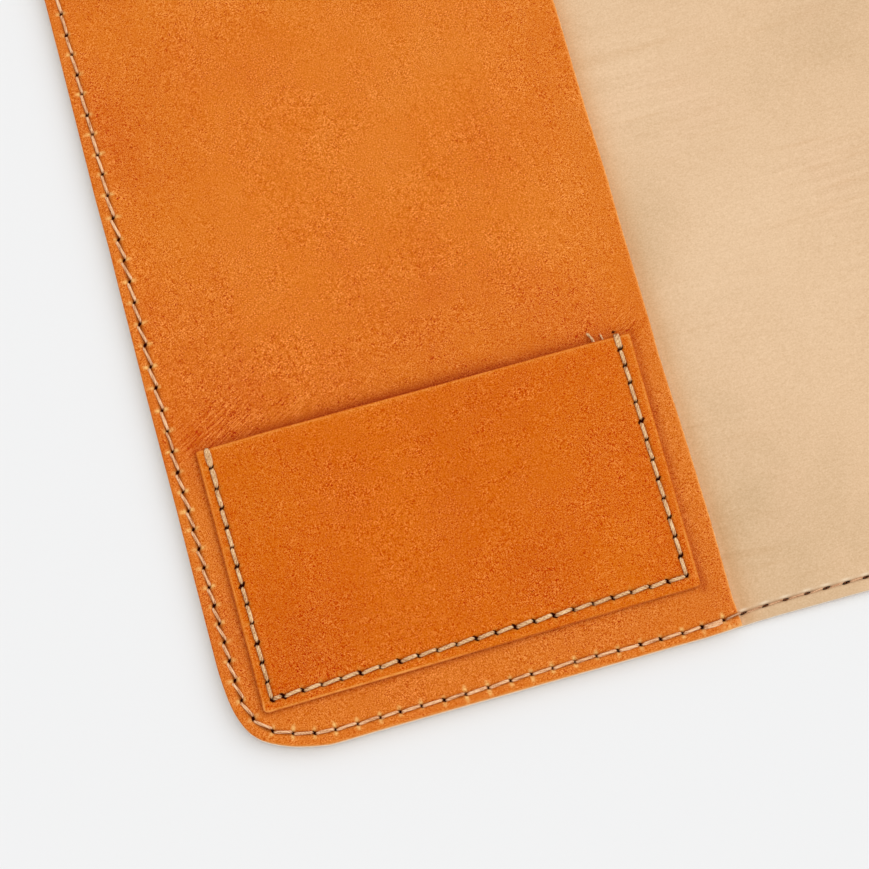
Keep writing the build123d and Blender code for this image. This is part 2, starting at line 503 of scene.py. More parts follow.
def flap_top(x, y):
    z = flap_base(x, y)
    _, d, _ = EDGE.find(x, y)
    free = np.abs(x) - free_at(y)
    front = x < 0
    h, seam = seam_relief(x, y, SEAM_PATH, HOLES, True, -0.75, 0.24, 0.95)
    rim = np.minimum(d, free)
    wr = 0.045 * waves(x, y, 71, 12, 38) + 0.012 * waves(x, y, 72, 3.5, 9)
    pd = pocket_distance(x, y)
    near = bump((np.maximum(pd, 0) / 7.5) ** 2)
    under = np.where(front, 0.10 * bump((np.maximum(pd, 0) / 1.6) ** 2), 0)
    # short creases that the sewn pocket pulls into the flap round its upper corners
    fold = 0.0 * x
    for cx, cy, a, b, k in ((-156, -38.5, 12, 5.5, 1.0), (-140, -38.0, 14, 4.0, 0.6), (-61.5, -40, 3.5, 4.5, 0.7),
                            (-150, -22, 30, 16, 0.22)):
        fold = np.maximum(fold, k * bump(((x - cx) / a) ** 2 + ((y - cy) / b) ** 2))
    fold = np.where(front, fold, 0)
    z = z + h + wr - under - edge_round(rim, 0.45, 0.30) - edge_round(free, 0.75, 0.22)
    e = sewn_distance(x, y)
    tone = 0.42 * waves(x, y, 73, 30, 110)
    tone = tone - 0.75 * bump((e / 15.0) ** 2) + 0.45 * bump((d / 4.5) ** 2)
    X, Y = to_pocket(x, y)
    tone = tone - np.where(front, 0.30 * bump((np.maximum(pd, 0) / 13.0) ** 2) * smooth((Y - PY1 + 6) / 8), 0)
    # painted shade along the pocket: widest above its mouth, where the mouth stands off the flap, a band beside its
    # right edge and a thin line round the rest
    out = np.maximum(pd, 0)
    above = 1.12 * smooth((Y - PY1 + 0.4) / 0.8) * (0.35 + 0.65 * mouth_arch(x, y))
    right = smooth((X - PX1 + 0.3) / 0.6) * (1 - smooth((Y - PY1 - 1) / 3)) * (0.75 + 0.3 * waves(x, y, 76, 8, 30))
    rest = 0.44 * np.exp(-((out / 0.28) ** 2))
    painted_shade = np.maximum(above * np.exp(-((np.maximum(out - 0.4, 0) / 1.7) ** 1.3)), rest * (1 - right) * (1 - above))
    painted_shade = np.maximum(painted_shade, 0.68 * right * np.exp(-((out / 1.5) ** 3.0)))
    painted_shade = np.where(front, painted_shade, 0)
    tone = tone + 0.6 * np.where(front, bump((pd / 4.5) ** 2) * smooth((PY1 - 4 - Y) / 10), 0)
    tone = tone - np.where(front, 0.45 * bump(((x + 150) / 24) ** 2 + ((y + 36) / 11) ** 2), 0)
    beside = near * (1 - smooth((Y - PY1 + 3) / 4))
    pink = np.where(front, beside, 0) * 0.7 + 0.4 * bump((d / 5.0) ** 2) * (1 - np.where(front, near, 0))
    # paler cut edge along the free edge and at head and foot, partly a painted highlight where their rounded rims meet
    # the light
    pale_rim_and_highlight = 0.85 * bump((free / 0.32) ** 2) + 0.55 * bump((d / 0.28) ** 2) * (np.abs(y) > HALF_H - 4)
    # nicks and pulled-wide holes by the foot of the free edge, at the back-tack and at the pocket's upper right
    # corner: dented a little, and painted dark as the shade inside them
    nick = np.zeros_like(x)
    if (x < 0).all():
        for nx, ny, a, b, k in ((-58.6, -110.0, 0.5, 0.25, 0.5), (-61.0, -110.8, 0.7, 0.14, 0.45),
                                (-65.35, -108.75, 0.80, 0.55, 1.0), (-65.15, -40.95, 0.62, 0.45, 1.0),
                                (-60.2, -110.4, 0.3, 0.3, 0.5)):
            nick = nick + k * bump(((x - nx) / a) ** 2 + ((y - ny) / b) ** 2)
        # the foot corner by the free edge is frayed
        fray = bump(((x + 59.0) / 3.2) ** 2 + ((y + 110.4) / 1.3) ** 2)
        pale_rim_and_highlight = pale_rim_and_highlight + 1.1 * fray * np.clip(0.5 + 0.7 * waves(x, y, 78, 0.8, 2.4), 0, 1)
    return z - 0.25 * nick, {
        "edge": np.clip(pale_rim_and_highlight, 0, 1), "tone": tone, "pink": pink, "pit": nick, "painted_shade": painted_shade, "fold": fold, **seam
    }


def flap_bottom(x, y):
    z = shell_base(x, y) + flap_gap(x, y)
    _, d, _ = EDGE.find(x, y)
    rim = np.minimum(d, np.abs(x) - free_at(y))
    z = z + edge_round(rim, 0.5, 0.3)
    return z, {"edge": bump((rim / 0.42) ** 2), "tone": 0.5 * waves(x, y, 74, 25, 90)}


def pocket_gap(x, y):
    """Room behind the card pocket: none at its seams, most in the middle of its mouth."""
    X, Y = to_pocket(x, y)
    u = np.minimum(X - PX0, PX1 - X)
    v = (Y - PY0) / PH
    low = smooth((Y - PY0 - 3.5) / 14)
    up = 0.16 * smooth((u - 3.6) / 8) * low
    # it spans the hollow that its mouth makes in the flap
    flat = 0.55 * mouth_arch(x, y) * smooth((Y - PY0 - 20) / 30)
    lift = 0.75 * mouth_arch(x, y) * smooth((v - 0.45) / 0.55)
    return 0.05 + np.maximum(up + flat * 0.9 + lift, 0)


def pocket_base(x, y):
    return flap_base(x, y) + pocket_gap(x, y) + T_POCKET


def pocket_top(x, y):
    z = pocket_base(x, y)
    rim = -pocket_distance(x, y)
    h, seam = seam_relief(x, y, POCKET_PATH, P_HOLES, False, -0.95, 0.20, 0.95, long=0.5, wide=0.3)
    wr = 0.030 * waves(x, y, 81, 10, 34) + 0.010 * waves(x, y, 82, 3.5, 9)
    z = z + h + wr - edge_round(rim, 0.4, 0.24)
    X, Y = to_pocket(x, y)
    tone = 0.42 * waves(x, y, 83, 20, 70) - 0.6 * smooth((PY0 + 34 - Y) / 40) * smooth((PX0 + 60 - X) / 50)
    tone = tone + 0.5 * bump((rim / 2.2) ** 2)
    # a light line just inside the cut, a painted highlight where its rounded rim meets the light, brightest along the
    # left of the foot; a darker one on its very rim, painted shade
    left = smooth((-105 - x) / 25)
    foot = smooth((PY0 + 3 - Y) / 2)
    line = bump(((rim - 0.42 + 0.24 * foot) / 0.24) ** 2)
    line = line * (0.45 * (1 - foot) + foot * (0.15 + 0.75 * left) + 0.1 * waves(x, y, 85, 5, 25))
    painted_shade = 0.44 * bump((rim / 0.2) ** 2) * (1 - foot * left)
    return z, {
        "edge": np.clip(line, 0, 1), "painted_shade": painted_shade,
        "tone": tone, "pink": 0.25 + 0.3 * waves(x, y, 84, 18, 50), **seam,
    }


def pocket_bottom(x, y):
    z = flap_base(x, y) + pocket_gap(x, y)
    rim = -pocket_distance(x, y)
    return z + edge_round(rim, 0.4, 0.2), {"edge": bump((rim / 0.4) ** 2), "tone": 0 * x}


# ------------------------------------------------------------- sheet building
def inside(poly, x, y):
    """Even-odd test of many points against one polygon, in strips."""
    x0, y0 = poly[:, 0], poly[:, 1]
    x1, y1 = np.roll(x0, -1), np.roll(y0, -1)
    hit = np.zeros(len(x), bool)
    for a in range(0, len(x), 4000):
        px, py = x[a : a + 4000, None], y[a : a + 4000, None]
        cross = (y0 > py) != (y1 > py)
        with np.errstate(divide="ignore", invalid="ignore"):
            xi = x0 + (py - y0) * (x1 - x0) / (y1 - y0)
        hit[a : a + 4000] = ((cross & (px < xi)).sum(1) % 2) == 1
    return hit


def clear_of(poly, x, y, gap):
    """True where a point is more than gap from every vertex of the polygon."""
    tree = kdtree.KDTree(len(poly))
    for i, q in enumerate(poly):
        tree.insert((q[0], q[1], 0), i)
    tree.balance()
    return np.fromiter(
        (tree.find((a, b, 0))[2] > gap for a, b in zip(x.tolist(), y.tolist())), bool, len(x)
    )


def grid(x0, x1, y0, y1, step):
    gx = np.arange(x0 + step / 2, x1, step)
    gy = np.arange(y0 + step / 2, y1, step)
    a, b = np.meshgrid(gx, gy)
    a = a + (np.arange(len(gy))[:, None] % 2) * step * 0.5
    return np.stack([a.ravel(), b.ravel()], 1)


def rim_rows(path_pts, path_normals, offsets, keep):
    rows = []
    for d in offsets:
        q = path_pts + path_normals * d
        rows.append(q[keep(q)])
    return rows


def seam_rows(path, holes, step=0.45, wide=(0.32, 0.62, 0.95, 1.3, 1.75)):
    """Rows of points along a seam, and rings round each hole."""
    s = np.arange(0, path.length, step)
    q, t, n = path.at(s)
    ds = near_hole(s, holes, path.length if path.closed else None)
    out = []
    for d in (0.0,) + tuple(w for k in wide for w in (k, -k)):
        keep = (np.abs(ds) > 0.85) | (abs(d) > 0.9)
        out.append((q + n * d)[keep])
    hq, ht, hn = path.at(holes)
    for r, m in ((0.0, 1), (0.14, 6), (0.3, 8), (0.5, 10), (0.74, 12)):
        for k in range(m):
            a = 2 * math.pi * (k + 0.5 * (m % 4 == 0)) / m
            out.append(hq + ht * (r * 1.05 * math.cos(a)) + hn * (r * math.sin(a)))
    return np.vstack(out)


def dedupe(p, cell=0.085):
    key = np.round(p / cell).astype(np.int64)
    _, i = np.unique(key[:, 0] * 1000003 + key[:, 1], return_index=True)
    return p[np.sort(i)]


def triangulate(loop, pts):
    n = len(loop)
    verts = [Vector((float(a), float(b))) for a, b in np.vstack([loop, pts])]
    edges = [(i, (i + 1) % n) for i in range(n)]
    co, _, faces, ov, _, _ = delaunay_2d_cdt(verts, edges, [], 1, 1e-5, True)
    order = {}
    for new, olds in enumerate(ov):
        for o in olds:
            if o < n:
                order[o] = new
    co = np.array([(c[0], c[1]) for c in co])
    ring = [order[i] for i in range(n)]
    # slivers that bridge a hollow stretch of the outline don't belong to the sheet
    on_rim = np.zeros(len(co), bool)
    on_rim[ring] = True
    tri = np.array(faces)
    k = np.where(on_rim[tri].all(1))[0]
    mid = co[tri[k]].mean(1)
    u, v = co[tri[k, 1]] - co[tri[k, 0]], co[tri[k, 2]] - co[tri[k, 0]]
    thin = np.abs(u[:, 0] * v[:, 1] - u[:, 1] * v[:, 0]) < 2e-5
    tri = np.delete(tri, k[thin | ~inside(np.asarray(loop), mid[:, 0], mid[:, 1])], 0)
    return co, [tuple(f) for f in tri.tolist()], ring


FIELDS = ("pit", "edge", "tone", "pink", "painted_shade", "fold", "hs", "hd", "hx", "hr")
FAR = {"hs": 9.0, "hd": 9.0}


def make_object(name, co_mm, faces, mats, mat_index=None, fields=None, smooth_shade=True, rest=None):
    mesh = bpy.data.meshes.new(name)
    mesh.from_pydata((np.asarray(co_mm) * MM).tolist(), [], faces)
    for m in mats:
        mesh.materials.append(m)
    if mat_index is not None:
        mesh.polygons.foreach_set("material_index", np.asarray(mat_index, np.int32))
    if smooth_shade:
        mesh.polygons.foreach_set("use_smooth", np.ones(len(faces), bool))
    a = mesh.attributes.new("rest_mm", "FLOAT_VECTOR", "POINT")
    a.data.foreach_set("vector", np.asarray(co_mm if rest is None else rest, np.float32).ravel())
    for f in FIELDS:
        v = (fields or {}).get(f)
        a = mesh.attributes.new("of_" + f, "FLOAT", "POINT")
        a.data.foreach_set("value", (np.full(len(co_mm), FAR.get(f, 0.0)) if v is None else np.asarray(v)).astype(np.float32))
    mesh.validate()
    mesh.update()
    obj = bpy.data.objects.new(name, mesh)
    bpy.context.scene.collection.objects.link(obj)
    return obj


def sheet(name, loop, cut, top, bottom, pts_top, pts_bottom, mats, seed=0):
    """A closed sheet of leather between two height fields.
    loop is its outline, counter-clockwise; cut marks the vertices on a line where the piece meets its other half."""
    loop = np.asarray(loop)
    parts = []
    for pts in (pts_top, pts_bottom):
        pts = dedupe(pts)
        ok = inside(loop, pts[:, 0], pts[:, 1])
        pts = pts[ok]
        pts = pts[clear_of(loop, pts[:, 0], pts[:, 1], 0.1)]
        parts.append(triangulate(loop, pts))
    (ct, ft, lt), (cb, fb, lb) = parts
    zt, at = top(ct[:, 0], ct[:, 1])
    zb, ab = bottom(cb[:, 0], cb[:, 1])
    nt, nb = len(ct), len(cb)
    # the cut wall, with two rows that bulge a little and are slightly rough
    n2, _ = normals_of(loop)
    rng = np.random.default_rng(seed + 7)
    wall = []
    hold = np.where(cut, 0.0, 1.0)
    for share, out in ((0.68, 0.05), (0.32, 0.05)):
        z = zt[lt] * share + zb[lb] * (1 - share)
        rough = (0.03 * rng.normal(size=len(loop)) + out) * hold
        q = loop - n2 * rough[:, None]
        wall.append(np.column_stack([q, z]))
    co = np.vstack([np.column_stack([ct, zt]), np.column_stack([cb, zb])] + wall)
    n = len(loop)
    w0, w1 = nt + nb, nt + nb + n
    faces = [tuple(f) for f in ft]
    faces += [tuple(nt + i for i in reversed(f)) for f in fb]
    index = [0] * len(ft) + [1] * len(fb)
    rings = [[*lt], list(range(w0, w0 + n)), list(range(w1, w1 + n)), [nt + i for i in lb]]
    for a, b in zip(rings, rings[1:]):
        for i in range(n):
            j = (i + 1) % n
            faces.append((a[i], b[i], b[j], a[j]))
            index.append(2)
    fields = {}
    for f in FIELDS:
        fields[f] = np.concatenate(
            [at.get(f, np.full(nt, FAR.get(f, 0.0))), ab.get(f, np.full(nb, FAR.get(f, 0.0))),
             np.full(2 * n, 1.0 if f == "edge" else FAR.get(f, 0.0))]
        )
    obj = make_object(name, co, faces, mats, index, fields)
    # where two halves meet, both take the normal of the whole surface
    if cut.any():
        e = 0.15
        normal = np.zeros((len(co), 3))
        for ids, fn, sign in ((lt, top, 1.0), (lb, bottom, -1.0)):
            base = 0 if fn is top else nt
            sel = [i for i in range(n) if cut[i]]
            vi = np.array([ids[i] for i in sel])
            x, y = co[base + vi, 0], co[base + vi, 1]
            gx = (fn(x + e, y)[0] - fn(x - e, y)[0]) / (2 * e)
            gy = (fn(x, y + e)[0] - fn(x, y - e)[0]) / (2 * e)
            v = np.stack([-gx, -gy, np.ones_like(gx)], 1) * sign
            normal[base + vi] = v / np.linalg.norm(v, axis=1, keepdims=True)
        obj.data.normals_split_custom_set_from_vertices(normal.tolist())
    return obj


def line(a, b, step):
    a, b = np.array(a, float), np.array(b, float)
    n = max(1, int(round(np.linalg.norm(b - a) / step)))
    return a + (b - a) * (np.arange(n)[:, None] / n)


def run(mask):
    """Indices of the one unbroken stretch of a closed loop where mask holds, in order."""
    n = len(mask)
    start = next(i for i in range(n) if mask[i] and not mask[i - 1])
    out, i = [], start
    while mask[i % n] and len(out) < n:
        out.append(i % n)
        i += 1
    return np.array(out)


def edge_x_at(y, side):
    """Where the outline crosses height y on that side."""
    sel = np.where((np.sign(OUT[:, 0]) == side) & (np.abs(OUT[:, 0]) > HALF_W - 8))[0]
    i = sel[np.argmin(np.abs(OUT[sel, 1] - y))]
    return OUT[i, 0]


def edge_y_at(x, side):
    sel = np.where((np.sign(OUT[:, 1]) == side) & (np.abs(OUT[:, 1]) > HALF_H - 8))[0]
    i = sel[np.argmin(np.abs(OUT[sel, 0] - x))]
    return OUT[i, 1]


# ------------------------------------------------------------------ materials
class Tree:
    """A short way to write a material's nodes."""

    def __init__(self, name):
        self.mat = bpy.data.materials.new(name)
        self.mat.use_nodes = True
        self.t = self.mat.node_tree
        self.t.nodes.clear()
        self.out = self.t.nodes.new("ShaderNodeOutputMaterial")

    def link(self, a, b):
        self.t.links.new(a, b)

    def put(self, socket, value):
        if isinstance(value, bpy.types.NodeSocket):
            self.link(value, socket)
        elif isinstance(value, (tuple, list)) and len(value) == 3 and socket.type == "RGBA":
            socket.default_value = (*value, 1.0)
        else:
            socket.default_value = value

    def attr(self, name, vector=False):
        n = self.t.nodes.new("ShaderNodeAttribute")
        n.attribute_name = name
        return n.outputs["Vector" if vector else "Fac"]

    def math(self, op, a, b=0.0, c=0.0, clamp=False):
        n = self.t.nodes.new("ShaderNodeMath")
        n.operation, n.use_clamp = op, clamp
        for i, v in enumerate((a, b, c)):
            self.put(n.inputs[i], v)
        return n.outputs[0]

    def scale(self, vec, by):
        n = self.t.nodes.new("ShaderNodeVectorMath")
        n.operation = "MULTIPLY"
        self.put(n.inputs[0], vec)
        n.inputs[1].default_value = by if isinstance(by, (tuple, list)) else (by,) * 3
        return n.outputs[0]

    def addv(self, a, b):
        n = self.t.nodes.new("ShaderNodeVectorMath")
        n.operation = "ADD"
        self.put(n.inputs[0], a)
        self.put(n.inputs[1], b)
        return n.outputs[0]

    def turned(self, vec, angle, along, across):
        """Coordinates turned in the plane and squeezed, for grain that runs one way."""
        c, q = math.cos(angle), math.sin(angle)
        n = self.t.nodes.new("ShaderNodeCombineXYZ")
        for i, axis in enumerate(((c / along, q / along, 0), (-q / across, c / across, 0), (0, 0, 1 / across))):
            dot = self.t.nodes.new("ShaderNodeVectorMath")
            dot.operation = "DOT_PRODUCT"
            self.put(dot.inputs[0], vec)
            dot.inputs[1].default_value = axis
            self.link(dot.outputs["Value"], n.inputs[i])
        return n.outputs[0]

    def vec(self, f):
        n = self.t.nodes.new("ShaderNodeCombineXYZ")
        for i in range(3):
            self.put(n.inputs[i], f)
        return n.outputs[0]

    def noise(self, vec, scale, detail=3.0, rough=0.55, distort=0.0, color=False):
        n = self.t.nodes.new("ShaderNodeTexNoise")
        self.put(n.inputs["Vector"], vec)
        n.inputs["Scale"].default_value = scale
        n.inputs["Detail"].default_value = detail
        n.inputs["Roughness"].default_value = rough
        n.inputs["Distortion"].default_value = distort
        return n.outputs["Color" if color else "Fac"]

    def voronoi(self, vec, scale, feature="DISTANCE_TO_EDGE", randomness=1.0, output="Distance"):
        n = self.t.nodes.new("ShaderNodeTexVoronoi")
        n.feature = feature
        self.put(n.inputs["Vector"], vec)
        n.inputs["Scale"].default_value = scale
        n.inputs["Randomness"].default_value = randomness
        return n.outputs[output]

    def remap(self, v, a, b, c=0.0, d=1.0):
        n = self.t.nodes.new("ShaderNodeMapRange")
        self.put(n.inputs["Value"], v)
        for k, x in zip(("From Min", "From Max", "To Min", "To Max"), (a, b, c, d)):
            n.inputs[k].default_value = x
        return n.outputs["Result"]

    def ramp(self, v, stops):
        n = self.t.nodes.new("ShaderNodeValToRGB")
        self.put(n.inputs["Fac"], v)
        el = n.color_ramp.elements
        while len(el) < len(stops):
            el.new(0.5)
        for e, (pos, col) in zip(el, stops):
            e.position, e.color = pos, (*col, 1.0)
        return n.outputs["Color"]

    def mix(self, f, a, b, kind="MIX"):
        n = self.t.nodes.new("ShaderNodeMix")
        n.data_type, n.blend_type = "RGBA", kind
        self.put(n.inputs[0], f)
        self.put(n.inputs[6], a)
        self.put(n.inputs[7], b)
        return n.outputs[2]

    def bump(self, height, distance, strength=1.0, normal=None):
        n = self.t.nodes.new("ShaderNodeBump")
        self.put(n.inputs["Height"], height)
        n.inputs["Distance"].default_value = distance
        n.inputs["Strength"].default_value = strength
        if normal is not None:
            self.link(normal, n.inputs["Normal"])
        return n.outputs["Normal"]

    def surface(self, **values):
        n = self.t.nodes.new("ShaderNodeBsdfPrincipled")
        for k, v in values.items():
            self.put(n.inputs[k.replace("_", " ")], v)
        self.link(n.outputs[0], self.out.inputs["Surface"])
        return self.mat


def srgb(r, g, b):
    """Linear colour from 0 to 255 screen values."""
    return tuple(
        (c / 255 / 12.92) if c / 255 <= 0.04045 else ((c / 255 + 0.055) / 1.055) ** 2.4
        for c in (r, g, b)
    )


# painted shade: the near-black inside of needle holes and nicks
HOLE_SHADE = (0.055, 0.004, 0.001)


def seam_marks(m, p, lean, long, wide, tick=1.0, halo=0.50):
    """Masks from the seam's coordinates: needle holes, rubbed grain beside them, and the shade under the thread."""
    ds, d, x, luck = m.attr("of_hs"), m.attr("of_hd"), m.attr("of_hx"), m.attr("of_hr")
    ds2, d2 = m.math("MULTIPLY", ds, ds), m.math("MULTIPLY", d, d)
    c, q = math.cos(lean), math.sin(lean)

    def quad(a, b, k):
        r = m.math("MULTIPLY", ds2, a)
        r = m.math("MULTIPLY_ADD", d2, b, r)
        return m.math("MULTIPLY_ADD", x, k, r)

    rough = m.remap(m.noise(p, 1 / 0.35, 2, 0.6), 0.3, 0.7, 0.7, 1.3)
    rough = m.math("MULTIPLY", rough, m.remap(luck, 0.0, 1.0, 1.7, 0.65))
    # u along the slit, v across it
    hole = m.math("MULTIPLY", quad(c * c / long**2 + q * q / wide**2, q * q / long**2 + c * c / wide**2,
                                   2 * c * q * (1 / long**2 - 1 / wide**2)), rough)
    hole = m.remap(hole, 0.8, 1.3, 1.0, 0.0)
    # pulled grain: pale strokes across the seam at every hole, of uneven length
    span = m.math("ABSOLUTE", d)
    reach = m.remap(m.noise(p, 1 / 4.0, 2, 0.5), 0.35, 0.65, 1.1, 2.3)
    stroke = m.math("MULTIPLY", m.math("EXPONENT", m.math("MULTIPLY", ds2, -6.0)), m.remap(span, 0.2, 0.45))
    stroke = m.math("MULTIPLY", stroke, m.remap(m.math("DIVIDE", span, reach), 0.45, 1.0, 1.0, 0.0))
    stroke = m.math("MULTIPLY", stroke, m.remap(m.noise(p, 1 / 0.45, 2, 0.6), 0.34, 0.52, 0.25, 1.0))
    stroke = m.math("MULTIPLY", stroke, m.remap(luck, 0.0, 1.0, 1.4 * tick, 0.8 * tick), clamp=True)
    shade = m.math("EXPONENT", m.math("MULTIPLY", d2, -1 / halo**2))
    return hole, stroke, shade


def grain_leather(name, dark, mid, light, pinkish, rubbed, rim, seed, lean=-0.75, long=0.52, wide=0.27,
                  grain=1.0, rough=0.55, bump=1.0, tick=1.0, halo=0.50, sheen=0.46):
    """Vegetable-tanned grain side: fine worm-like grain, calm clouds of dye, paler where it is pulled."""
    m = Tree(name)
    rest = m.attr("rest_mm", True)
    p = m.addv(rest, (seed * 13.7, seed * 7.1, seed * 3.3))
    cloud = m.noise(p, 1 / 48, 2, 0.5, 0.3)
    streak = m.noise(m.scale(p, (1 / 9.0, 1 / 26.0, 1)), 1.0, 3, 0.55, 0.3)
    mottle = m.noise(p, 1 / 7, 3, 0.55, 0.2)
    t = m.math("MULTIPLY_ADD", m.attr("of_tone"), 0.22, 0.5)
    t = m.math("ADD", t, m.math("MULTIPLY", m.math("SUBTRACT", cloud, 0.5), 0.45))
    t = m.math("ADD", t, m.math("MULTIPLY", m.math("SUBTRACT", streak, 0.5), 0.32))
    t = m.math("ADD", t, m.math("MULTIPLY", m.math("SUBTRACT", mottle, 0.5), 0.28), clamp=True)
    col = m.ramp(t, [(0.1, dark), (0.5, mid), (0.9, light)])
    col = m.mix(m.math("MULTIPLY", m.attr("of_pink"), 0.55, clamp=True), col, pinkish)
    # the grain itself: worm-like ridges and valleys a little over half a millimetre apart
    one = m.noise(m.turned(p, 0.45, 0.36, 0.17), 1.0, 0.0, 0.5, 0.4)
    two = m.noise(m.turned(p, 2.05, 0.34, 0.17), 1.0, 0.0, 0.5, 0.4)
    side = m.remap(m.noise(p, 1 / 3.5, 1, 0.5), 0.42, 0.58)
    fine = m.noise(p, 1 / 0.17, 0.0, 0.5, 0.2)
    h = m.math("ADD", m.math("MULTIPLY", m.math("SUBTRACT", one, 0.5), side),
               m.math("MULTIPLY", m.math("SUBTRACT", two, 0.5), m.math("SUBTRACT", 1.0, side)))
    h = m.math("MULTIPLY_ADD", m.math("SUBTRACT", fine, 0.5), 0.55, h)
    crease = m.math("SUBTRACT", m.noise(m.turned(p, 0.52, 4.0, 0.29), 1.0, 1.0, 0.5, 0.3), 0.5)
    h = m.math("MULTIPLY_ADD", m.math("MULTIPLY", crease, m.attr("of_fold")), 1.3, h)
    patch = m.remap(m.noise(p, 1 / 14, 2, 0.5), 0.35, 0.65, 0.78, 1.22)
    lift = m.math("MULTIPLY", m.math("MULTIPLY", h, patch), grain)
    col = m.mix(1.0, col, m.scale(m.vec(lift), (0.72, 0.430, 0.170)), "ADD")
    # sparse pores
    pore = m.math("LESS_THAN", m.voronoi(p, 1 / 9.5, "F1"), 0.020)
    col = m.mix(m.math("MULTIPLY", pore, 0.6), col, tuple(c * 0.45 for c in dark))
    # faint long scuffs
    scuff = m.noise(m.scale(p, (1 / 1.1, 1 / 22, 1)), 1.0, 2, 0.5, 0.4)
    scuff = m.remap(scuff, 0.70, 0.80)
    col = m.mix(m.math("MULTIPLY", scuff, 0.20, clamp=True), col, light)
    # painted shade, warmer and deeper, where the shade mask from the mesh is high
    deep = m.mix(1.0, col, (0.59, 0.28, 0.10), "MULTIPLY")
    col = m.mix(m.math("MULTIPLY", m.attr("of_painted_shade"), 1.0, clamp=True), col, deep)
    hole, stroke, shade = seam_marks(m, rest, lean, long, wide, tick, halo)
    col = m.mix(m.math("MULTIPLY", stroke, 0.9, clamp=True), col, rubbed)
    # paler along cut edges, partly a painted highlight on the rounded rims of the flaps and the pocket
    edge = m.math("MULTIPLY", m.attr("of_edge"), m.remap(m.noise(p, 1 / 2.0, 3, 0.6), 0.35, 0.55, 0.45, 1.0))
    col = m.mix(m.math("MINIMUM", edge, 0.9), col, rim)
    col = m.mix(m.math("MULTIPLY", shade, 0.80), col, tuple(c * 0.26 for c in dark))
    # painted shade inside the needle holes and nicks
    pit = m.math("MAXIMUM", hole, m.remap(m.attr("of_pit"), 0.35, 0.7))
    col = m.mix(pit, col, HOLE_SHADE)
    n = m.bump(m.math("MULTIPLY", h, 1.0), 0.00014 * bump, 0.6)
    rgh = m.math("ADD", m.remap(h, -0.2, 0.2, rough + 0.08, rough - 0.05), m.math("MULTIPLY", pit, 0.4), clamp=True)
    return m.surface(
        Base_Color=col, Roughness=rgh, Normal=n,
        Specular_IOR_Level=m.math("MULTIPLY", m.math("SUBTRACT", 1.0, pit), 0.16),
        Specular_Tint=(1.0, 0.78, sheen),
    )


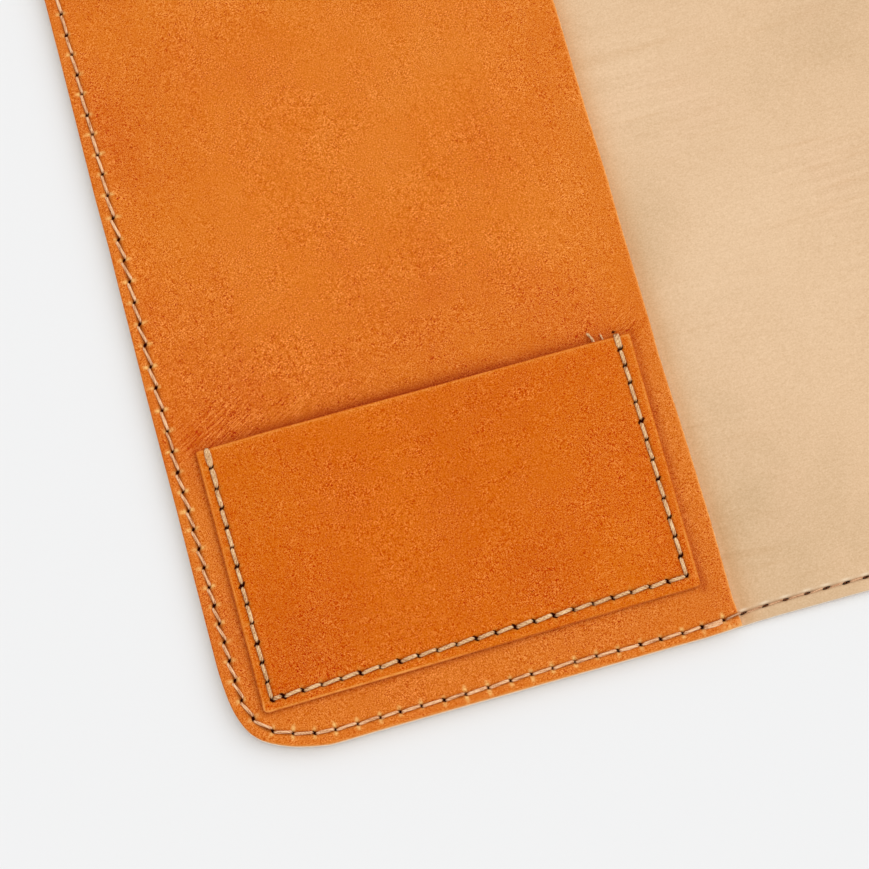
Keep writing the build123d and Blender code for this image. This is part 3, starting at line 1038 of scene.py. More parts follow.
def flesh_leather(name, dark, mid, light, rubbed, seed, lean=0.12, long=0.92, wide=0.25):
    """Undyed flesh side, rolled smooth: pale, cloudy, with short fibres and soft creases."""
    m = Tree(name)
    rest = m.attr("rest_mm", True)
    p = m.addv(rest, (seed * 11.3, seed * 5.9, 0.0))
    cloud = m.noise(p, 1 / 60, 2, 0.5, 0.4)
    mottle = m.noise(p, 1 / 12, 3, 0.55, 0.4)
    # fibres lie across the cover; creases run the same way
    fibre = m.noise(m.scale(p, (1 / 1.0, 1 / 0.40, 1)), 1.0, 3, 0.65, 0.8)
    speck = m.noise(p, 1 / 0.38, 1, 0.6)
    crease = m.noise(m.scale(p, (1 / 26.0, 1 / 1.5, 1)), 1.0, 3, 0.55, 0.5)
    where = m.remap(m.noise(p, 1 / 38, 2, 0.5), 0.45, 0.62)
    t = m.math("MULTIPLY_ADD", m.attr("of_tone"), 0.20, 0.5)
    t = m.math("ADD", t, m.math("MULTIPLY", m.math("SUBTRACT", cloud, 0.5), 0.5))
    t = m.math("ADD", t, m.math("MULTIPLY", m.math("SUBTRACT", mottle, 0.5), 0.30), clamp=True)
    col = m.ramp(t, [(0.05, dark), (0.5, mid), (0.95, light)])
    pink = m.noise(p, 1 / 24, 3, 0.5)
    col = m.mix(m.remap(pink, 0.50, 0.75, 0, 0.25), col, (mid[0] * 1.0, mid[1] * 0.92, mid[2] * 0.94))
    lift = m.math("SUBTRACT", fibre, 0.5)
    lift = m.math("MULTIPLY_ADD", m.math("SUBTRACT", speck, 0.5), 1.1, lift)
    lift = m.math("MULTIPLY_ADD", m.math("MULTIPLY", m.math("SUBTRACT", crease, 0.5), where), 0.7, lift)
    col = m.mix(1.0, col, m.scale(m.vec(lift), (0.19, 0.165, 0.135)), "ADD")
    # painted shade, warmer and deeper, where the shade mask from the mesh is high: beside the flaps' free edges,
    # tinted with the orange the flaps throw back
    deep = m.mix(1.0, col, (0.90, 0.76, 0.62), "MULTIPLY")
    col = m.mix(m.math("MULTIPLY", m.attr("of_painted_shade"), 1.0, clamp=True), col, deep)
    smear = m.noise(m.scale(p, (1 / 34.0, 1 / 3.2, 1)), 1.0, 3, 0.6, 0.6)
    smear = m.math("MULTIPLY", m.remap(smear, 0.53, 0.72), m.remap(m.noise(p, 1 / 30, 2, 0.5), 0.40, 0.62))
    col = m.mix(m.math("MULTIPLY", smear, 0.55, clamp=True), col, m.mix(1.0, col, (0.90, 0.84, 0.76), "MULTIPLY"))
    spot = m.math("LESS_THAN", m.voronoi(p, 1 / 7.0, "F1"), 0.026)
    col = m.mix(m.math("MULTIPLY", spot, 0.22), col, dark)
    hole, stroke, shade = seam_marks(m, rest, lean, long, wide, halo=0.40)
    # the stitches press a lip on the side towards the middle; its brightness is a painted highlight where the slope
    # out of the seam's groove meets the light
    lip_highlight = m.math("EXPONENT", m.math("MULTIPLY", m.math("POWER", m.math("SUBTRACT", m.attr("of_hd"), 0.62), 2.0), -9.0))
    close = m.math("EXPONENT", m.math("MULTIPLY", m.math("POWER", m.attr("of_hs"), 2.0), -0.9))
    lip_highlight = m.math("MULTIPLY", lip_highlight, m.math("MULTIPLY_ADD", close, 0.85, 0.12))
    col = m.mix(m.math("MULTIPLY", lip_highlight, 0.8), col, rubbed)
    col = m.mix(m.math("MULTIPLY", shade, 0.66), col, (dark[0] * 0.42, dark[1] * 0.28, dark[2] * 0.22))
    col = m.mix(m.math("MULTIPLY", m.attr("of_edge"), 0.35), col, light)
    # painted shade inside the needle holes
    pit = m.math("MAXIMUM", hole, m.remap(m.attr("of_pit"), 0.35, 0.7))
    col = m.mix(pit, col, (0.012, 0.006, 0.004))
    hgt = m.math("MULTIPLY_ADD", m.math("MULTIPLY", crease, where), 1.6, fibre)
    n = m.bump(hgt, 0.00010, 0.5)
    return m.surface(
        Base_Color=col, Roughness=0.8, Normal=n,
        Specular_IOR_Level=m.math("MULTIPLY", m.math("SUBTRACT", 1.0, pit), 0.15),
        Specular_Tint=(1.0, 0.93, 0.84),
    )


def cut_edge(name, body, skin, seed):
    """A raw cut edge: packed fibres, streaked along the cut, darker towards the dyed skin."""
    m = Tree(name)
    p = m.addv(m.attr("rest_mm", True), (seed * 3.1, seed * 9.7, 0.0))
    streak = m.noise(m.scale(p, (1 / 2.2, 1 / 2.2, 1 / 0.22)), 1.0, 4, 0.65, 0.6)
    fuzz = m.noise(p, 1 / 0.45, 3, 0.6)
    t = m.math("ADD", m.math("MULTIPLY", streak, 0.7), m.math("MULTIPLY", fuzz, 0.3))
    col = m.ramp(t, [(0.25, skin), (0.6, body), (0.8, tuple(min(1, c * 1.15) for c in body))])
    n = m.bump(t, 0.00015, 0.6)
    return m.surface(Base_Color=col, Roughness=0.85, Normal=n, Specular_IOR_Level=0.2)


def thread_material(name, dark, mid, light):
    """Waxed, twisted thread: strands are in the mesh, single fibres in the bump."""
    m = Tree(name)
    p = m.attr("rest_mm", True)
    strand = m.attr("of_tone")
    fibre = m.noise(p, 1 / 0.22, 2, 0.6, 0.5)
    t = m.math("MULTIPLY_ADD", strand, 0.20, 0.50)
    t = m.math("ADD", t, m.math("MULTIPLY", m.math("SUBTRACT", fibre, 0.5), 1.3))
    t = m.math("ADD", t, m.math("MULTIPLY", m.math("SUBTRACT", m.noise(p, 1 / 2.2, 2, 0.5), 0.5), 0.9), clamp=True)
    col = m.ramp(t, [(0.1, dark), (0.5, mid), (0.9, light)])
    # painted shade where the thread dives into the holes
    end = m.attr("of_edge")
    col = m.mix(m.remap(end, 0.1, 1.0, 0.0, 0.9), col, (dark[0] * 0.26, dark[1] * 0.12, dark[2] * 0.06))
    n = m.bump(fibre, 0.00006, 0.6)
    clean = m.math("SUBTRACT", 1.0, end, clamp=True)
    return m.surface(
        Base_Color=col, Roughness=0.68, Normal=n, Specular_IOR_Level=m.math("MULTIPLY", clean, 0.22),
        Specular_Tint=(1.0, 0.9, 0.78), Sheen_Weight=m.math("MULTIPLY", clean, 0.08), Sheen_Roughness=0.4,
        Sheen_Tint=(1.0, 0.9, 0.75),
    )


FLAP_GRAIN = grain_leather(
    "tan_grain", (0.640, 0.126, 0.004), (0.705, 0.178, 0.011), (0.745, 0.222, 0.026),
    (0.660, 0.172, 0.026), (1.0, 0.600, 0.200), (0.930, 0.440, 0.130), 1.0, long=0.52, wide=0.29,
    tick=0.88,
)
POCKET_GRAIN = grain_leather(
    "tan_grain_deep", (0.600, 0.103, 0.000), (0.660, 0.133, 0.001), (0.705, 0.165, 0.004),
    (0.650, 0.138, 0.004), (0.90, 0.400, 0.095), (0.880, 0.360, 0.085), 2.0, lean=-0.95, long=0.78, wide=0.38,
    tick=0.4, halo=0.58, grain=0.92, sheen=0.12,
)
OUTER_GRAIN = grain_leather(
    "tan_grain_outside", (0.520, 0.100, 0.005), (0.610, 0.150, 0.011), (0.690, 0.200, 0.026),
    (0.580, 0.160, 0.026), (0.880, 0.420, 0.110), (0.760, 0.430, 0.210), 3.0, lean=0.4, long=0.56, wide=0.33,
)
FLESH = flesh_leather("pale_flesh", (0.585, 0.400, 0.226), (0.740, 0.512, 0.315), (0.810, 0.582, 0.375), (0.92, 0.76, 0.56), 1.0)
FLAP_FLESH = flesh_leather("flap_flesh", (0.52, 0.27, 0.10), (0.62, 0.35, 0.15), (0.71, 0.44, 0.21), (0.75, 0.52, 0.30), 4.0)
FLAP_EDGE = cut_edge("flap_cut_edge", srgb(246, 220, 188), srgb(234, 176, 120), 1.0)
POCKET_EDGE = cut_edge("pocket_cut_edge", srgb(226, 128, 50), srgb(196, 88, 24), 3.0)
SHELL_EDGE = cut_edge("shell_cut_edge", srgb(248, 236, 218), srgb(238, 212, 180), 2.0)
THREAD = thread_material("waxed_thread", srgb(152, 98, 58), srgb(218, 172, 124), srgb(252, 220, 172))
SEAM_THREAD = thread_material("waxed_thread_seam", srgb(166, 102, 60), srgb(232, 178, 132), srgb(252, 214, 172))
# painted shade: a darker copy of the thread for the stitches sunk in the shell's groove
THREAD_SHADED = thread_material("waxed_thread_shaded", srgb(134, 86, 56), srgb(206, 156, 118), srgb(238, 196, 156))


# --------------------------------------------------------------------- pieces
def closed_loop(parts):
    """Joins (points, is_cut) stretches into one loop and its cut marks."""
    pts = np.vstack([p for p, _ in parts])
    cut = np.concatenate([np.full(len(p), c) for p, c in parts])
    return pts, cut


OUT2 = OUT[::2]
FOLD_ROWS = np.vstack(
    [np.stack([np.full(int(2 * HALF_H / 1.2), x), np.linspace(-HALF_H, HALF_H, int(2 * HALF_H / 1.2))], 1)
     for s in (-1, 1) for x in np.arange(s * FOLD - 4.5, s * FOLD + 4.51, 0.5)]
)


def rims(offsets=(0.12, 0.28, 0.5, 0.85), free=None):
    rows = [OUT[::2] + OUT_N[::2] * d for d in offsets]
    if free:
        y = np.arange(-HALF_H, HALF_H, 0.4)
        rows += [np.stack([free * (free_at(y) + d), y], 1) for d in offsets]
    return np.vstack(rows)


def keep(p, test):
    return p[test(p[:, 0], p[:, 1])]


SEAM_PTS = seam_rows(SEAM_PATH, HOLES)
SEAM_COARSE = seam_rows(SEAM_PATH, HOLES, 0.9, (0.5, 1.0, 1.6))


def calm(p, rim, seam):
    """Drops grid points that come too near the finer rows."""
    _, d, _ = EDGE.find(p[:, 0], p[:, 1])
    _, _, r = SEAM_PATH.find(p[:, 0], p[:, 1])
    return p[(d > rim) & (r > seam)]


def make_shell():
    yb, yt = edge_y_at(SPLIT_X, -1), edge_y_at(SPLIT_X, 1)
    n = 200
    up = np.stack([np.full(n + 1, SPLIT_X), np.linspace(yb, yt, n + 1)], 1)
    open_zone = lambda x, y: np.abs(x) < FREE + 3
    top = np.vstack(
        [
            rims(),
            keep(SEAM_PTS, open_zone),
            FOLD_ROWS,
            calm(grid(-FREE - 3, FREE + 3, -HALF_H, HALF_H, 1.1), 1.1, 2.1),
            calm(keep(grid(-HALF_W, HALF_W, -HALF_H, HALF_H, 4.5), lambda x, y: np.abs(x) > FREE + 3), 1.2, 0.0),
        ]
    )
    bottom = np.vstack(
        [rims(), SEAM_COARSE, FOLD_ROWS, calm(grid(-HALF_W, HALF_W, -HALF_H, HALF_H, 2.4), 1.2, 1.9)]
    )
    left = OUT2[run(OUT2[:, 0] < SPLIT_X - 0.2)]
    right = OUT2[run(OUT2[:, 0] > SPLIT_X + 0.2)]
    out = []
    for name, loop, cut, test in (
        ("shell_front_half", *closed_loop([(left, False), (up, True)]), lambda x, y: x < SPLIT_X - 0.2),
        ("shell_back_half", *closed_loop([(right, False), (up[::-1], True)]), lambda x, y: x > SPLIT_X + 0.2),
    ):
        out.append(
            sheet(name, loop, cut, shell_top, shell_bottom, keep(top, test), keep(bottom, test),
                  [FLESH, OUTER_GRAIN, SHELL_EDGE], 1)
        )
    return out


def make_flap(side, split, names):
    """Both halves of a flap: they meet along y = split."""
    xs = edge_x_at(split, side)
    cut_x = side * float(free_at(split))
    n = 96
    across = np.stack([np.linspace(xs, cut_x, n + 1), np.full(n + 1, split)], 1)
    hugs = side * OUT2[:, 0] > free_at(OUT2[:, 1]) + 0.2
    low = OUT2[run(hugs & (OUT2[:, 1] < split - 0.2))]
    high = OUT2[run(hugs & (OUT2[:, 1] > split + 0.2))]

    def free_line(y0, y1):
        """The free edge from y0 up to y1, both ends included."""
        y = np.linspace(y0, y1, max(2, int((y1 - y0) / 0.4)))
        return np.stack([side * free_at(y), y], 1)

    fl_low = free_line(edge_y_at(side * float(free_at(-HALF_H)), -1), split)
    fl_high = free_line(split, edge_y_at(side * float(free_at(HALF_H)), 1))
    if side < 0:
        # down the outer edge, along the foot, up the free edge, back along the cut
        loops = (
            closed_loop([(low, False), (fl_low[:-1], False), (across[::-1], True)]),
            closed_loop([(high, False), (across, True), (fl_high[1:], False)]),
        )
    else:
        loops = (
            closed_loop([(low, False), (across, True), (fl_low[::-1][1:], False)]),
            closed_loop([(high, False), (fl_high[::-1][:-1], False), (across[::-1], True)]),
        )
    x0, x1 = sorted((side * HALF_W, side * (FREE - 1)))
    top = np.vstack(
        [
            rims(free=side),
            keep(SEAM_PTS, lambda x, y: side * x > FREE - 1.0),
            calm(grid(x0, x1, -HALF_H, HALF_H, 1.35), 1.1, 2.1),
        ]
    )
    if side < 0:
        # finer where the pocket pulls creases into it
        c = grid(-176, -44, -46, -22, 0.6)
        top = np.vstack([top, calm(c[(c[:, 0] > -HALF_W + 4) & (c[:, 0] < -FREE - 1.5)], 1.1, 2.1)])
    bottom = np.vstack([rims((0.15, 0.4, 0.8), free=side), calm(grid(x0, x1, -HALF_H, HALF_H, 3.5), 1.2, 0.0)])
    out = []
    for name, (loop, cut), test in zip(
        names, loops, (lambda x, y: y < split + 0.5, lambda x, y: y > split - 0.5)
    ):
        out.append(
            sheet(name, loop, cut, flap_top, flap_bottom, keep(top, test), keep(bottom, test),
                  [FLAP_GRAIN, FLAP_FLESH, FLAP_EDGE], 2)
        )
    return out


def make_pocket():
    r = 1.1
    loop = []
    for cx, cy, a0 in ((PX0 + r, PY0 + r, 180), (PX1 - r, PY0 + r, 270)):
        for k in range(6):
            a = math.radians(a0 + 18 * k)
            loop.append((cx + r * math.cos(a), cy + r * math.sin(a)))
    loop += [(PX1, PY1 - 0.15), (PX1 - 0.15, PY1), (PX0 + 0.15, PY1), (PX0, PY1 - 0.15)]
    loop = from_pocket(resample(loop, 0.35))
    n, _ = normals_of(loop)
    rng = np.random.default_rng(31)
    s = np.linspace(0, 2 * math.pi, len(loop), endpoint=False)
    wob = sum(0.05 / k**0.5 * np.sin(k * s + rng.random() * 6.28) for k in range(4, 40, 3))
    loop = loop + n * wob[:, None] * 0.8
    n, _ = normals_of(loop)
    rim = np.vstack([loop + n * d for d in (0.12, 0.25, 0.42, 0.7)])
    g = from_pocket(grid(PX0, PX1, PY0, PY1, 1.2))
    _, _, near = POCKET_PATH.find(g[:, 0], g[:, 1])
    g = g[(near > 2.0) & (-pocket_distance(g[:, 0], g[:, 1]) > 0.95)]
    top = np.vstack([rim, seam_rows(POCKET_PATH, P_HOLES, 0.4), g])
    low = np.vstack([rim, from_pocket(grid(PX0, PX1, PY0, PY1, 2.0))])
    return sheet("card_pocket_leather", loop, np.zeros(len(loop), bool), pocket_top, pocket_bottom, top, low,
                 [POCKET_GRAIN, FLAP_FLESH, POCKET_EDGE], 3)


def make_stitches(name, a, b, surface, rx, rz, lean_a, lean_b, proud, material, depth=0.95,
                  under=False, rings=15, seg=12, twist=0.9, seed=0, shift=None, bulge=None, gap=0.16):
    """One thread's stitches: each comes up out of hole a, lies on the leather and goes down hole b."""
    count = len(a)
    rng = np.random.default_rng(seed)
    way = b - a
    full = np.linalg.norm(way, axis=1)
    way = way / full[:, None]
    side = np.stack([-way[:, 1], way[:, 0]], 1)
    gap = np.broadcast_to(np.asarray(gap, float), (2, count))
    start = a + way * gap[0][:, None] - side * lean_a[:, None]
    end = b - way * gap[1][:, None] + side * lean_b[:, None]
    if shift is not None:
        start, end = start + side * shift[:, None], end + side * shift[:, None]
    u = np.concatenate([[0, 0.09, 0.19, 0.31, 0.46, 0.66], np.linspace(0.95, 1.9, rings // 2 - 5)])
    half = np.linalg.norm(end - start, axis=1) / 2
    ctr, off, along = [], [], []
    for k in range(2 * len(u) - 1):
        m = k if k < len(u) else 2 * len(u) - 2 - k
        uu = u[m] / u[-1] * 1.0
        # keep the steep ends the same length on short and long stitches
        dist = np.where(u[m] <= 0.66, u[m], 0.66 + (u[m] - 0.66) / (u[-1] - 0.66) * (half - 0.66))
        dist = np.minimum(dist, half * (m / (len(u) - 1)) if half.min() < 0.9 else dist)
        f = dist / (2 * half)
        f = f if k < len(u) else 1 - f
        ctr.append(start + (end - start) * f[:, None])
        off.append(proud - (proud + depth) * np.exp(-((dist / 0.27) ** 1.5)))
        along.append(f * 2 * half)
    ctr = np.array(ctr)  # rings, stitches, 2
    off, along = np.array(off), np.array(along)
    # a thread is never quite straight
    bow = rng.normal(size=count) * 0.05
    t = along / np.maximum(along[-1], 1e-6)
    ctr = ctr + side[None] * (np.sin(math.pi * t) * bow)[..., None]
    if bulge is not None:
        ctr = ctr + side[None] * (np.sin(math.pi * np.clip(t, 0, 1)) ** 0.55 * bulge)[..., None]
    r = ctr.reshape(-1, 2)
    base = surface(r[:, 0], r[:, 1]).reshape(ctr.shape[:2])
    sgn = -1.0 if under else 1.0
    z = base + sgn * off
    p = np.concatenate([ctr, z[..., None]], 2)
    tan = np.gradient(p, axis=0)
    tan /= np.maximum(np.linalg.norm(tan, axis=2, keepdims=True), 1e-9)
    lat = np.concatenate([side, np.zeros((count, 1))], 1)[None].repeat(len(p), 0)
    upv = np.cross(tan, lat) * 1.0
    upv /= np.maximum(np.linalg.norm(upv, axis=2, keepdims=True), 1e-9)
    phase = rng.random(count) * 6.28
    ang = np.arange(seg) * 2 * math.pi / seg
    lobe = np.cos(3 * (ang[None, None, :] - along[..., None] * 2 * math.pi / (3 * twist) * 1.0 - phase[None, :, None]))
    rad = 1 + 0.11 * lobe
    swell = (0.93 + 0.10 * np.sin(math.pi * np.clip(t, 0, 1)))[..., None]
    wide = 1 + rng.normal(size=count) * 0.05
    co = (
        p[:, :, None, :]
        + lat[:, :, None, :] * (rx * wide[None, :, None] * swell * rad * np.cos(ang))[..., None]
        + upv[:, :, None, :] * (rz * swell * rad * np.sin(ang))[..., None]
    )
    R = len(p)
    verts = co.transpose(1, 0, 2, 3).reshape(-1, 3)
    tone = lobe.transpose(1, 0, 2).reshape(-1)
    # painted shade at both ends of each stitch, where the thread dives into its hole
    dark = np.repeat(bump((np.minimum(along, along[-1] - along) / 0.30) ** 2).T.reshape(-1), seg)
    faces = []
    quad = [
        (k * seg + j, k * seg + (j + 1) % seg, (k + 1) * seg + (j + 1) % seg, (k + 1) * seg + j)
        for k in range(R - 1) for j in range(seg)
    ]
    caps = [tuple(reversed(range(seg))), tuple((R - 1) * seg + j for j in range(seg))]
    for i in range(count):
        o = i * R * seg
        faces += [tuple(o + v for v in f) for f in quad]
        faces += [tuple(o + v for v in f) for f in caps]
    obj = make_object(name, verts, faces, [material], None, {"tone": tone, "edge": dark})
    bm = bmesh.new()
    bm.from_mesh(obj.data)
    bmesh.ops.recalc_face_normals(bm, faces=bm.faces)
    bm.to_mesh(obj.data)
    bm.free()
    return obj


def needle_surface(x, y):
    """Height of the thread's bed along the perimeter seam, inside the cover."""
    on_flap = np.abs(x) - (free_at(y) - 0.15)
    low = shell_base(x, y) - 0.26
    high = flap_base(x, y) - 0.20
    t = np.where(on_flap > 0, 1.0, np.exp(on_flap / 0.55))
    return low * (1 - t) + high * t


def bobbin_surface(x, y):
    z, _ = floor_lift(x, y)
    return z + 0.42


def make_perimeter(name, under, test, material_of, seed):
    q, t, n = SEAM_PATH.at(HOLES)
    q2 = np.roll(q, -1, 0)
    mid = (q + q2) / 2
    rng = np.random.default_rng(seed)
    steep = t[:, 1] ** 2
    upper = (mid[:, 0] < 0) * smooth((mid[:, 1] - 12) / 22)
    lean = (0.17 + 0.36 * steep * (1 - upper)) * (1 + 0.25 * rng.normal(size=len(q)))
    luck = hole_luck(HOLES)
    gaps = np.stack([0.10 + 0.20 * luck, 0.10 + 0.20 * np.roll(luck, -1)])
    pick = test(mid[:, 0], mid[:, 1])
    made = []
    for part, cond, mat, proud, rx, rz in material_of:
        s = pick & cond(mid[:, 0], mid[:, 1])
        if not s.any():
            continue
        made.append(
            make_stitches(
                f"{name}{part}", q[s], q2[s],
                bobbin_surface if under else needle_surface,
                rx, rz, lean[s], lean[s] * 0.9, proud, mat, under=under,
                rings=15 if not under else 13, seg=12 if not under else 8, seed=seed,
                gap=gaps[:, s] + (0.30 if part == "_on_shell" else 0.0),
            )
        )
    return made


def flap_group(piece, side, slot, *nodes, upper=False):
    """A piece of a flap, which on the real cover is sewn at the head, foot and side seams: its transform is baked in
    and the CAD nodes it stands for are hidden.
    """
    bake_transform(piece)
    if nodes:
        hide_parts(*nodes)
    return piece


def cover_group(piece, side, slot, *nodes):
    """A piece of the cover itself, whose leather on the real cover rolls tightly at the fold line: its transform is
    baked in and the CAD nodes it stands for are hidden.
    """
    if side < 0:
        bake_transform(piece)
    else:
        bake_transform(piece)
    if nodes:
        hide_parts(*nodes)
    return piece


# the cover
front_half, back_half = make_shell()
cover_group(front_half, -1, "shell_leather", "shell_front", "shell_spine")
cover_group(back_half, 1, "shell_leather", "shell_back")

# the flaps
front_low, front_high = make_flap(-1, SPLIT_Y, ("front_flap_lower", "front_flap_upper"))
back_low, back_high = make_flap(1, 0.0, ("back_flap_lower", "back_flap_upper"))
flap_group(front_low, -1, "flap_leather", "front_flap_margin", "front_flap_panel")
flap_group(front_high, -1, "flap_leather", upper=True)
flap_group(back_low, 1, "flap_leather", "back_flap_margin", "back_flap_panel")
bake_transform(back_high)

# the card pocket
pocket = make_pocket()
flap_group(pocket, -1, "pocket_leather", "card_pocket")


# ---------------------------------------------------------------- the threads
def pocket_bed(x, y):
    return pocket_base(x, y) - 0.12


def pocket_under(x, y):
    z, _ = flap_bottom(x, y)
    return z + 0.30


def make_pocket_threads():
    q, t, n = POCKET_PATH.at(P_HOLES)
    # the corner holes are the last of each run
    for c, (cx, cy) in ((13, (-158.35, -98.9)), (35, (-65.62, -97.3))):
        q[c] = (cx, cy)
    a, b = q[:-1].copy(), q[1:].copy()
    rng = np.random.default_rng(77)
    m = len(a)
    lean_a = 0.04 + 0.10 * rng.random(m)
    lean_b = 0.04 + 0.10 * rng.random(m)
    foot = (np.arange(m) >= 14) & (np.arange(m) <= 33)
    lean_a[foot] += 0.13
    lean_b[foot] += 0.13
    for c in (13, 35):
        lean_b[c - 1] *= 0.2
        lean_a[c] *= 0.2
    luck = hole_luck(P_HOLES)
    top = make_stitches("pocket_stitches", a, b, pocket_bed, 0.38, 0.26, lean_a, lean_b, 0.16, THREAD,
                        seed=78, rings=17, seg=14, gap=np.stack([0.12 + 0.22 * luck[:-1], 0.12 + 0.22 * luck[1:]]))
    # the first stitches at each end of the mouth are sewn over
    i = np.array([0, 0, 1, m - 1, m - 1])
    none = np.zeros(len(i))
    over = make_stitches("pocket_tacks", a[i], b[i], pocket_bed, 0.34, 0.25, none, none, 0.20, THREAD, seed=79,
                         rings=17, seg=14, shift=np.array([0, 0, 0.06, 0.22, -0.20]),
                         bulge=np.array([0.38, -0.36, 0.26, 0.16, -0.18]), gap=np.array([[0.16, 0.16, 0.16, 0.2, 0.2]] * 2))
    under = make_stitches("pocket_bobbin", a, b, pocket_under, 0.34, 0.24, lean_a, lean_b, 0.18, THREAD,
                          under=True, depth=0.8, rings=13, seg=8, seed=81)
    return top, over, under


def make_loose_end(name, pts, radius, seed):
    """A cut thread end lying on the leather, a little frayed."""
    rng = np.random.default_rng(seed)
    p = np.array(pts, float)
    u = np.linspace(0, 1, 14)
    k = np.linspace(0, 1, len(p))
    c = np.stack([np.interp(u, k, p[:, i]) for i in range(3)], 1)
    for _ in range(3):
        c[1:-1] = 0.5 * c[1:-1] + 0.25 * (c[:-2] + c[2:])
    tan = np.gradient(c, axis=0)
    tan /= np.linalg.norm(tan, axis=1, keepdims=True)
    ref = np.array([0.0, 0.0, 1.0])
    lat = np.cross(ref, tan)
    lat /= np.linalg.norm(lat, axis=1, keepdims=True)
    upv = np.cross(tan, lat)
    seg = 10
    ang = np.arange(seg) * 2 * math.pi / seg
    verts, faces, tone = [], [], []
    for i in range(len(c)):
        lobe = np.cos(3 * (ang - i * 0.42))
        r = radius * (1 + 0.16 * lobe) * (1.0 if i < len(c) - 2 else 1.18 - 0.2 * (i - len(c) + 2))
        verts.append(c[i] + lat[i] * (r * np.cos(ang))[:, None] + upv[i] * (r * np.sin(ang))[:, None])
        tone.append(lobe)
    for i in range(len(c) - 1):
        for j in range(seg):
            faces.append((i * seg + j, i * seg + (j + 1) % seg, (i + 1) * seg + (j + 1) % seg, (i + 1) * seg + j))
    faces += [tuple(reversed(range(seg))), tuple((len(c) - 1) * seg + j for j in range(seg))]
    verts = np.vstack(verts)
    tone = np.concatenate(tone)
    # a few single fibres stick out of the cut end
    for f in range(3):
        d = tan[-1] + rng.normal(size=3) * 0.35
        d[2] = abs(d[2]) * 0.4
        d /= np.linalg.norm(d)
        base, tip = c[-1], c[-1] + d * (0.45 + 0.3 * rng.random())
        s1 = np.cross(d, ref)
        s1 /= np.linalg.norm(s1)
        s2 = np.cross(d, s1)
        o = len(verts)
        ring = [base + (s1 * math.cos(g) + s2 * math.sin(g)) * 0.045 for g in (0, 2.09, 4.19)]
        verts = np.vstack([verts, ring, [tip]])
        tone = np.concatenate([tone, np.ones(4)])
        faces += [(o, o + 1, o + 3), (o + 1, o + 2, o + 3), (o + 2, o, o + 3), (o + 2, o + 1, o)]
    obj = make_object(name, verts, faces, [THREAD], None, {"tone": tone})
    bm = bmesh.new()
    bm.from_mesh(obj.data)
    bmesh.ops.recalc_face_normals(bm, faces=bm.faces)
    bm.to_mesh(obj.data)
    bm.free()
    return obj


def on_leather(x, y, lift):
    z = flap_base(np.array([x]), np.array([y]))[0]
    return (x, y, z + lift)


def on_pocket(x, y, lift):
    z = pocket_base(np.array([x]), np.array([y]))[0]
    return (x, y, z + lift)


top, over, under = make_pocket_threads()
flap_group(top, -1, "thread", "pocket_needle_thread")
flap_group(over, -1, "thread")
flap_group(under, -1, "thread", "pocket_bobbin_thread")
end_a = make_loose_end(
    "pocket_thread_end_a",
    [on_leather(-69.9, -43.2, 0.30), on_leather(-70.1, -41.9, 0.50), on_leather(-70.5, -40.8, 0.60), on_leather(-71.0, -39.9, 0.45)],
    0.27, 5,
)
end_b = make_loose_end(
    "pocket_thread_end_b",
    [on_leather(-67.8, -43.2, 0.3), on_leather(-68.0, -42.0, 0.42), on_leather(-68.2, -40.9, 0.32)], 0.17, 6,
)
flap_group(end_a, -1, "thread")
flap_group(end_b, -1, "thread")

# the seam round the cover: its needle side lies on the flaps and, between them, on the shell
on_flap = lambda x, y: np.abs(x) > FREE + 1.5
on_shell = lambda x, y: np.abs(x) <= FREE + 1.5
for side, word in ((-1, "front"), (1, "back")):
    mine = (lambda x, y: x < SPLIT_X) if side < 0 else (lambda x, y: x >= SPLIT_X)
    made = make_perimeter(
        f"{word}_stitches", False, mine,
        [("_on_flap", on_flap, SEAM_THREAD, 0.13, 0.31, 0.23), ("_on_shell", on_shell, THREAD_SHADED, 0.06, 0.21, 0.2)],
        91 + side,
    )
    nodes = ["front_needle_thread", "spine_needle_thread"] if side < 0 else ["back_needle_thread"]
    cover_group(made[0], side, "thread", *nodes)
    for extra in made[1:]:
        cover_group(extra, side, "thread")
    low = make_perimeter(
        f"{word}_bobbin_stitches", True, mine, [("", lambda x, y: x == x, SEAM_THREAD, 0.12, 0.30, 0.24)], 95 + side,
    )
    nodes = ["front_bobbin_thread", "spine_bobbin_thread"] if side < 0 else ["back_bobbin_thread"]
    cover_group(low[0], side, "thread", *nodes)

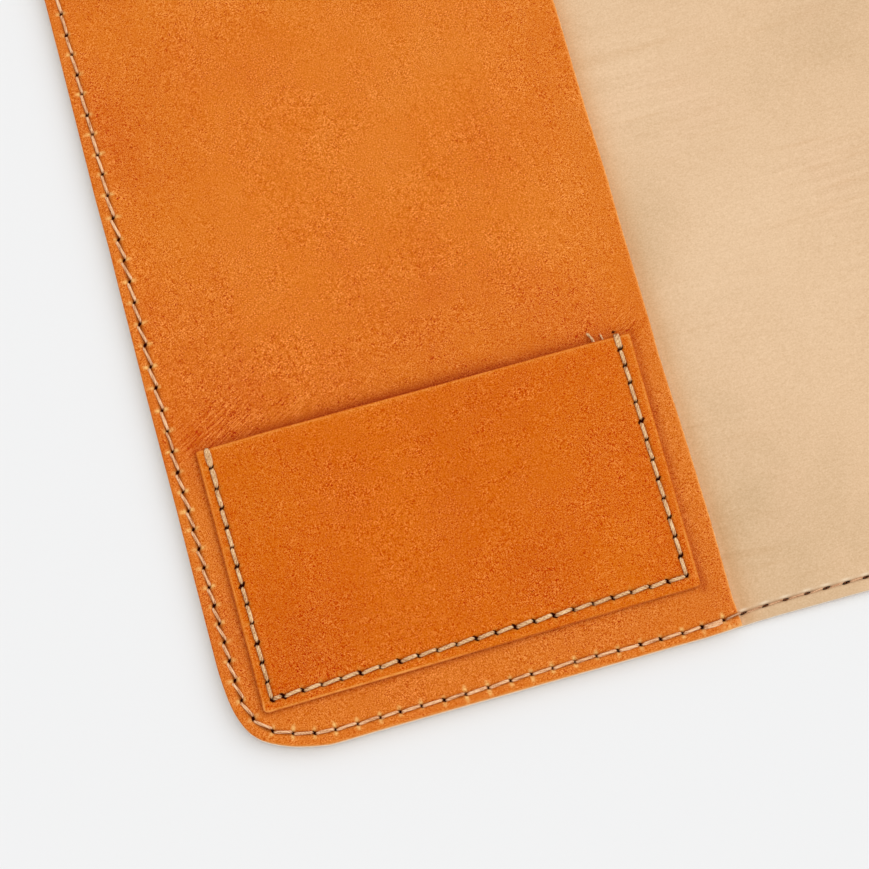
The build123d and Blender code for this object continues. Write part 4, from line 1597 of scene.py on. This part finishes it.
# a stitch sewn over just before the seam runs off each flap, at the foot
q, t, n = SEAM_PATH.at(HOLES)
for side, word in ((-1, "front"), (1, "back")):
    i = np.where((q[:, 1] < 0) & (side * q[:, 0] > FREE + 2.0))[0]
    i = i[np.argsort(side * q[i, 0])[:2]]
    a, b = q[i.min()][None], q[i.max()][None]
    zero = np.zeros(1)
    tack = make_stitches(
        f"{word}_back_tack", a, b, needle_surface, 0.27, 0.23, zero, zero, 0.20, SEAM_THREAD, seed=99 + side,
        shift=np.array([-0.34]), bulge=np.array([-0.22]),
    )
    cover_group(tack, side, "thread")


# ------------------------------------------------------------- floor and light
def make_stage():
    m = Tree("floor")
    m.surface(Base_Color=(0.838, 0.853, 0.872), Roughness=0.9, Specular_IOR_Level=0.1)
    mesh = bpy.data.meshes.new("floor")
    mesh.from_pydata([(-6, -6, 0), (6, -6, 0), (6, 6, 0), (-6, 6, 0)], [], [(0, 1, 2, 3)])
    mesh.materials.append(m.mat)
    floor = bpy.data.objects.new("floor", mesh)
    floor.location.z = -0.0001
    bpy.context.scene.collection.objects.link(floor)

    world = bpy.data.worlds.new("world")
    world.use_nodes = True
    bpy.context.scene.world = world
    bg = world.node_tree.nodes["Background"]
    bg.inputs["Color"].default_value = (1.004, 0.990, 0.974, 1)
    bg.inputs["Strength"].default_value = 0.80

    def sun(name, az_right, az_up, elevation, strength, angle, colour):
        phi = math.radians(15.658)
        right = Vector((math.cos(phi), -math.sin(phi), 0))
        up = Vector((math.sin(phi), math.cos(phi), 0))
        d = (right * az_right + up * az_up).normalized()
        d = d * math.cos(math.radians(elevation)) + Vector((0, 0, math.sin(math.radians(elevation))))
        light = bpy.data.lights.new(name, "SUN")
        light.energy, light.angle, light.color = strength, math.radians(angle), colour
        o = bpy.data.objects.new(name, light)
        o.rotation_mode = "QUATERNION"
        o.rotation_quaternion = d.to_track_quat("Z", "Y")
        bpy.context.scene.collection.objects.link(o)

    sun("key", 0.74, 0.48, 50, 1.07, 62, (1.0, 0.985, 0.96))
    bpy.context.scene.view_settings.view_transform = "Standard"


make_stage()
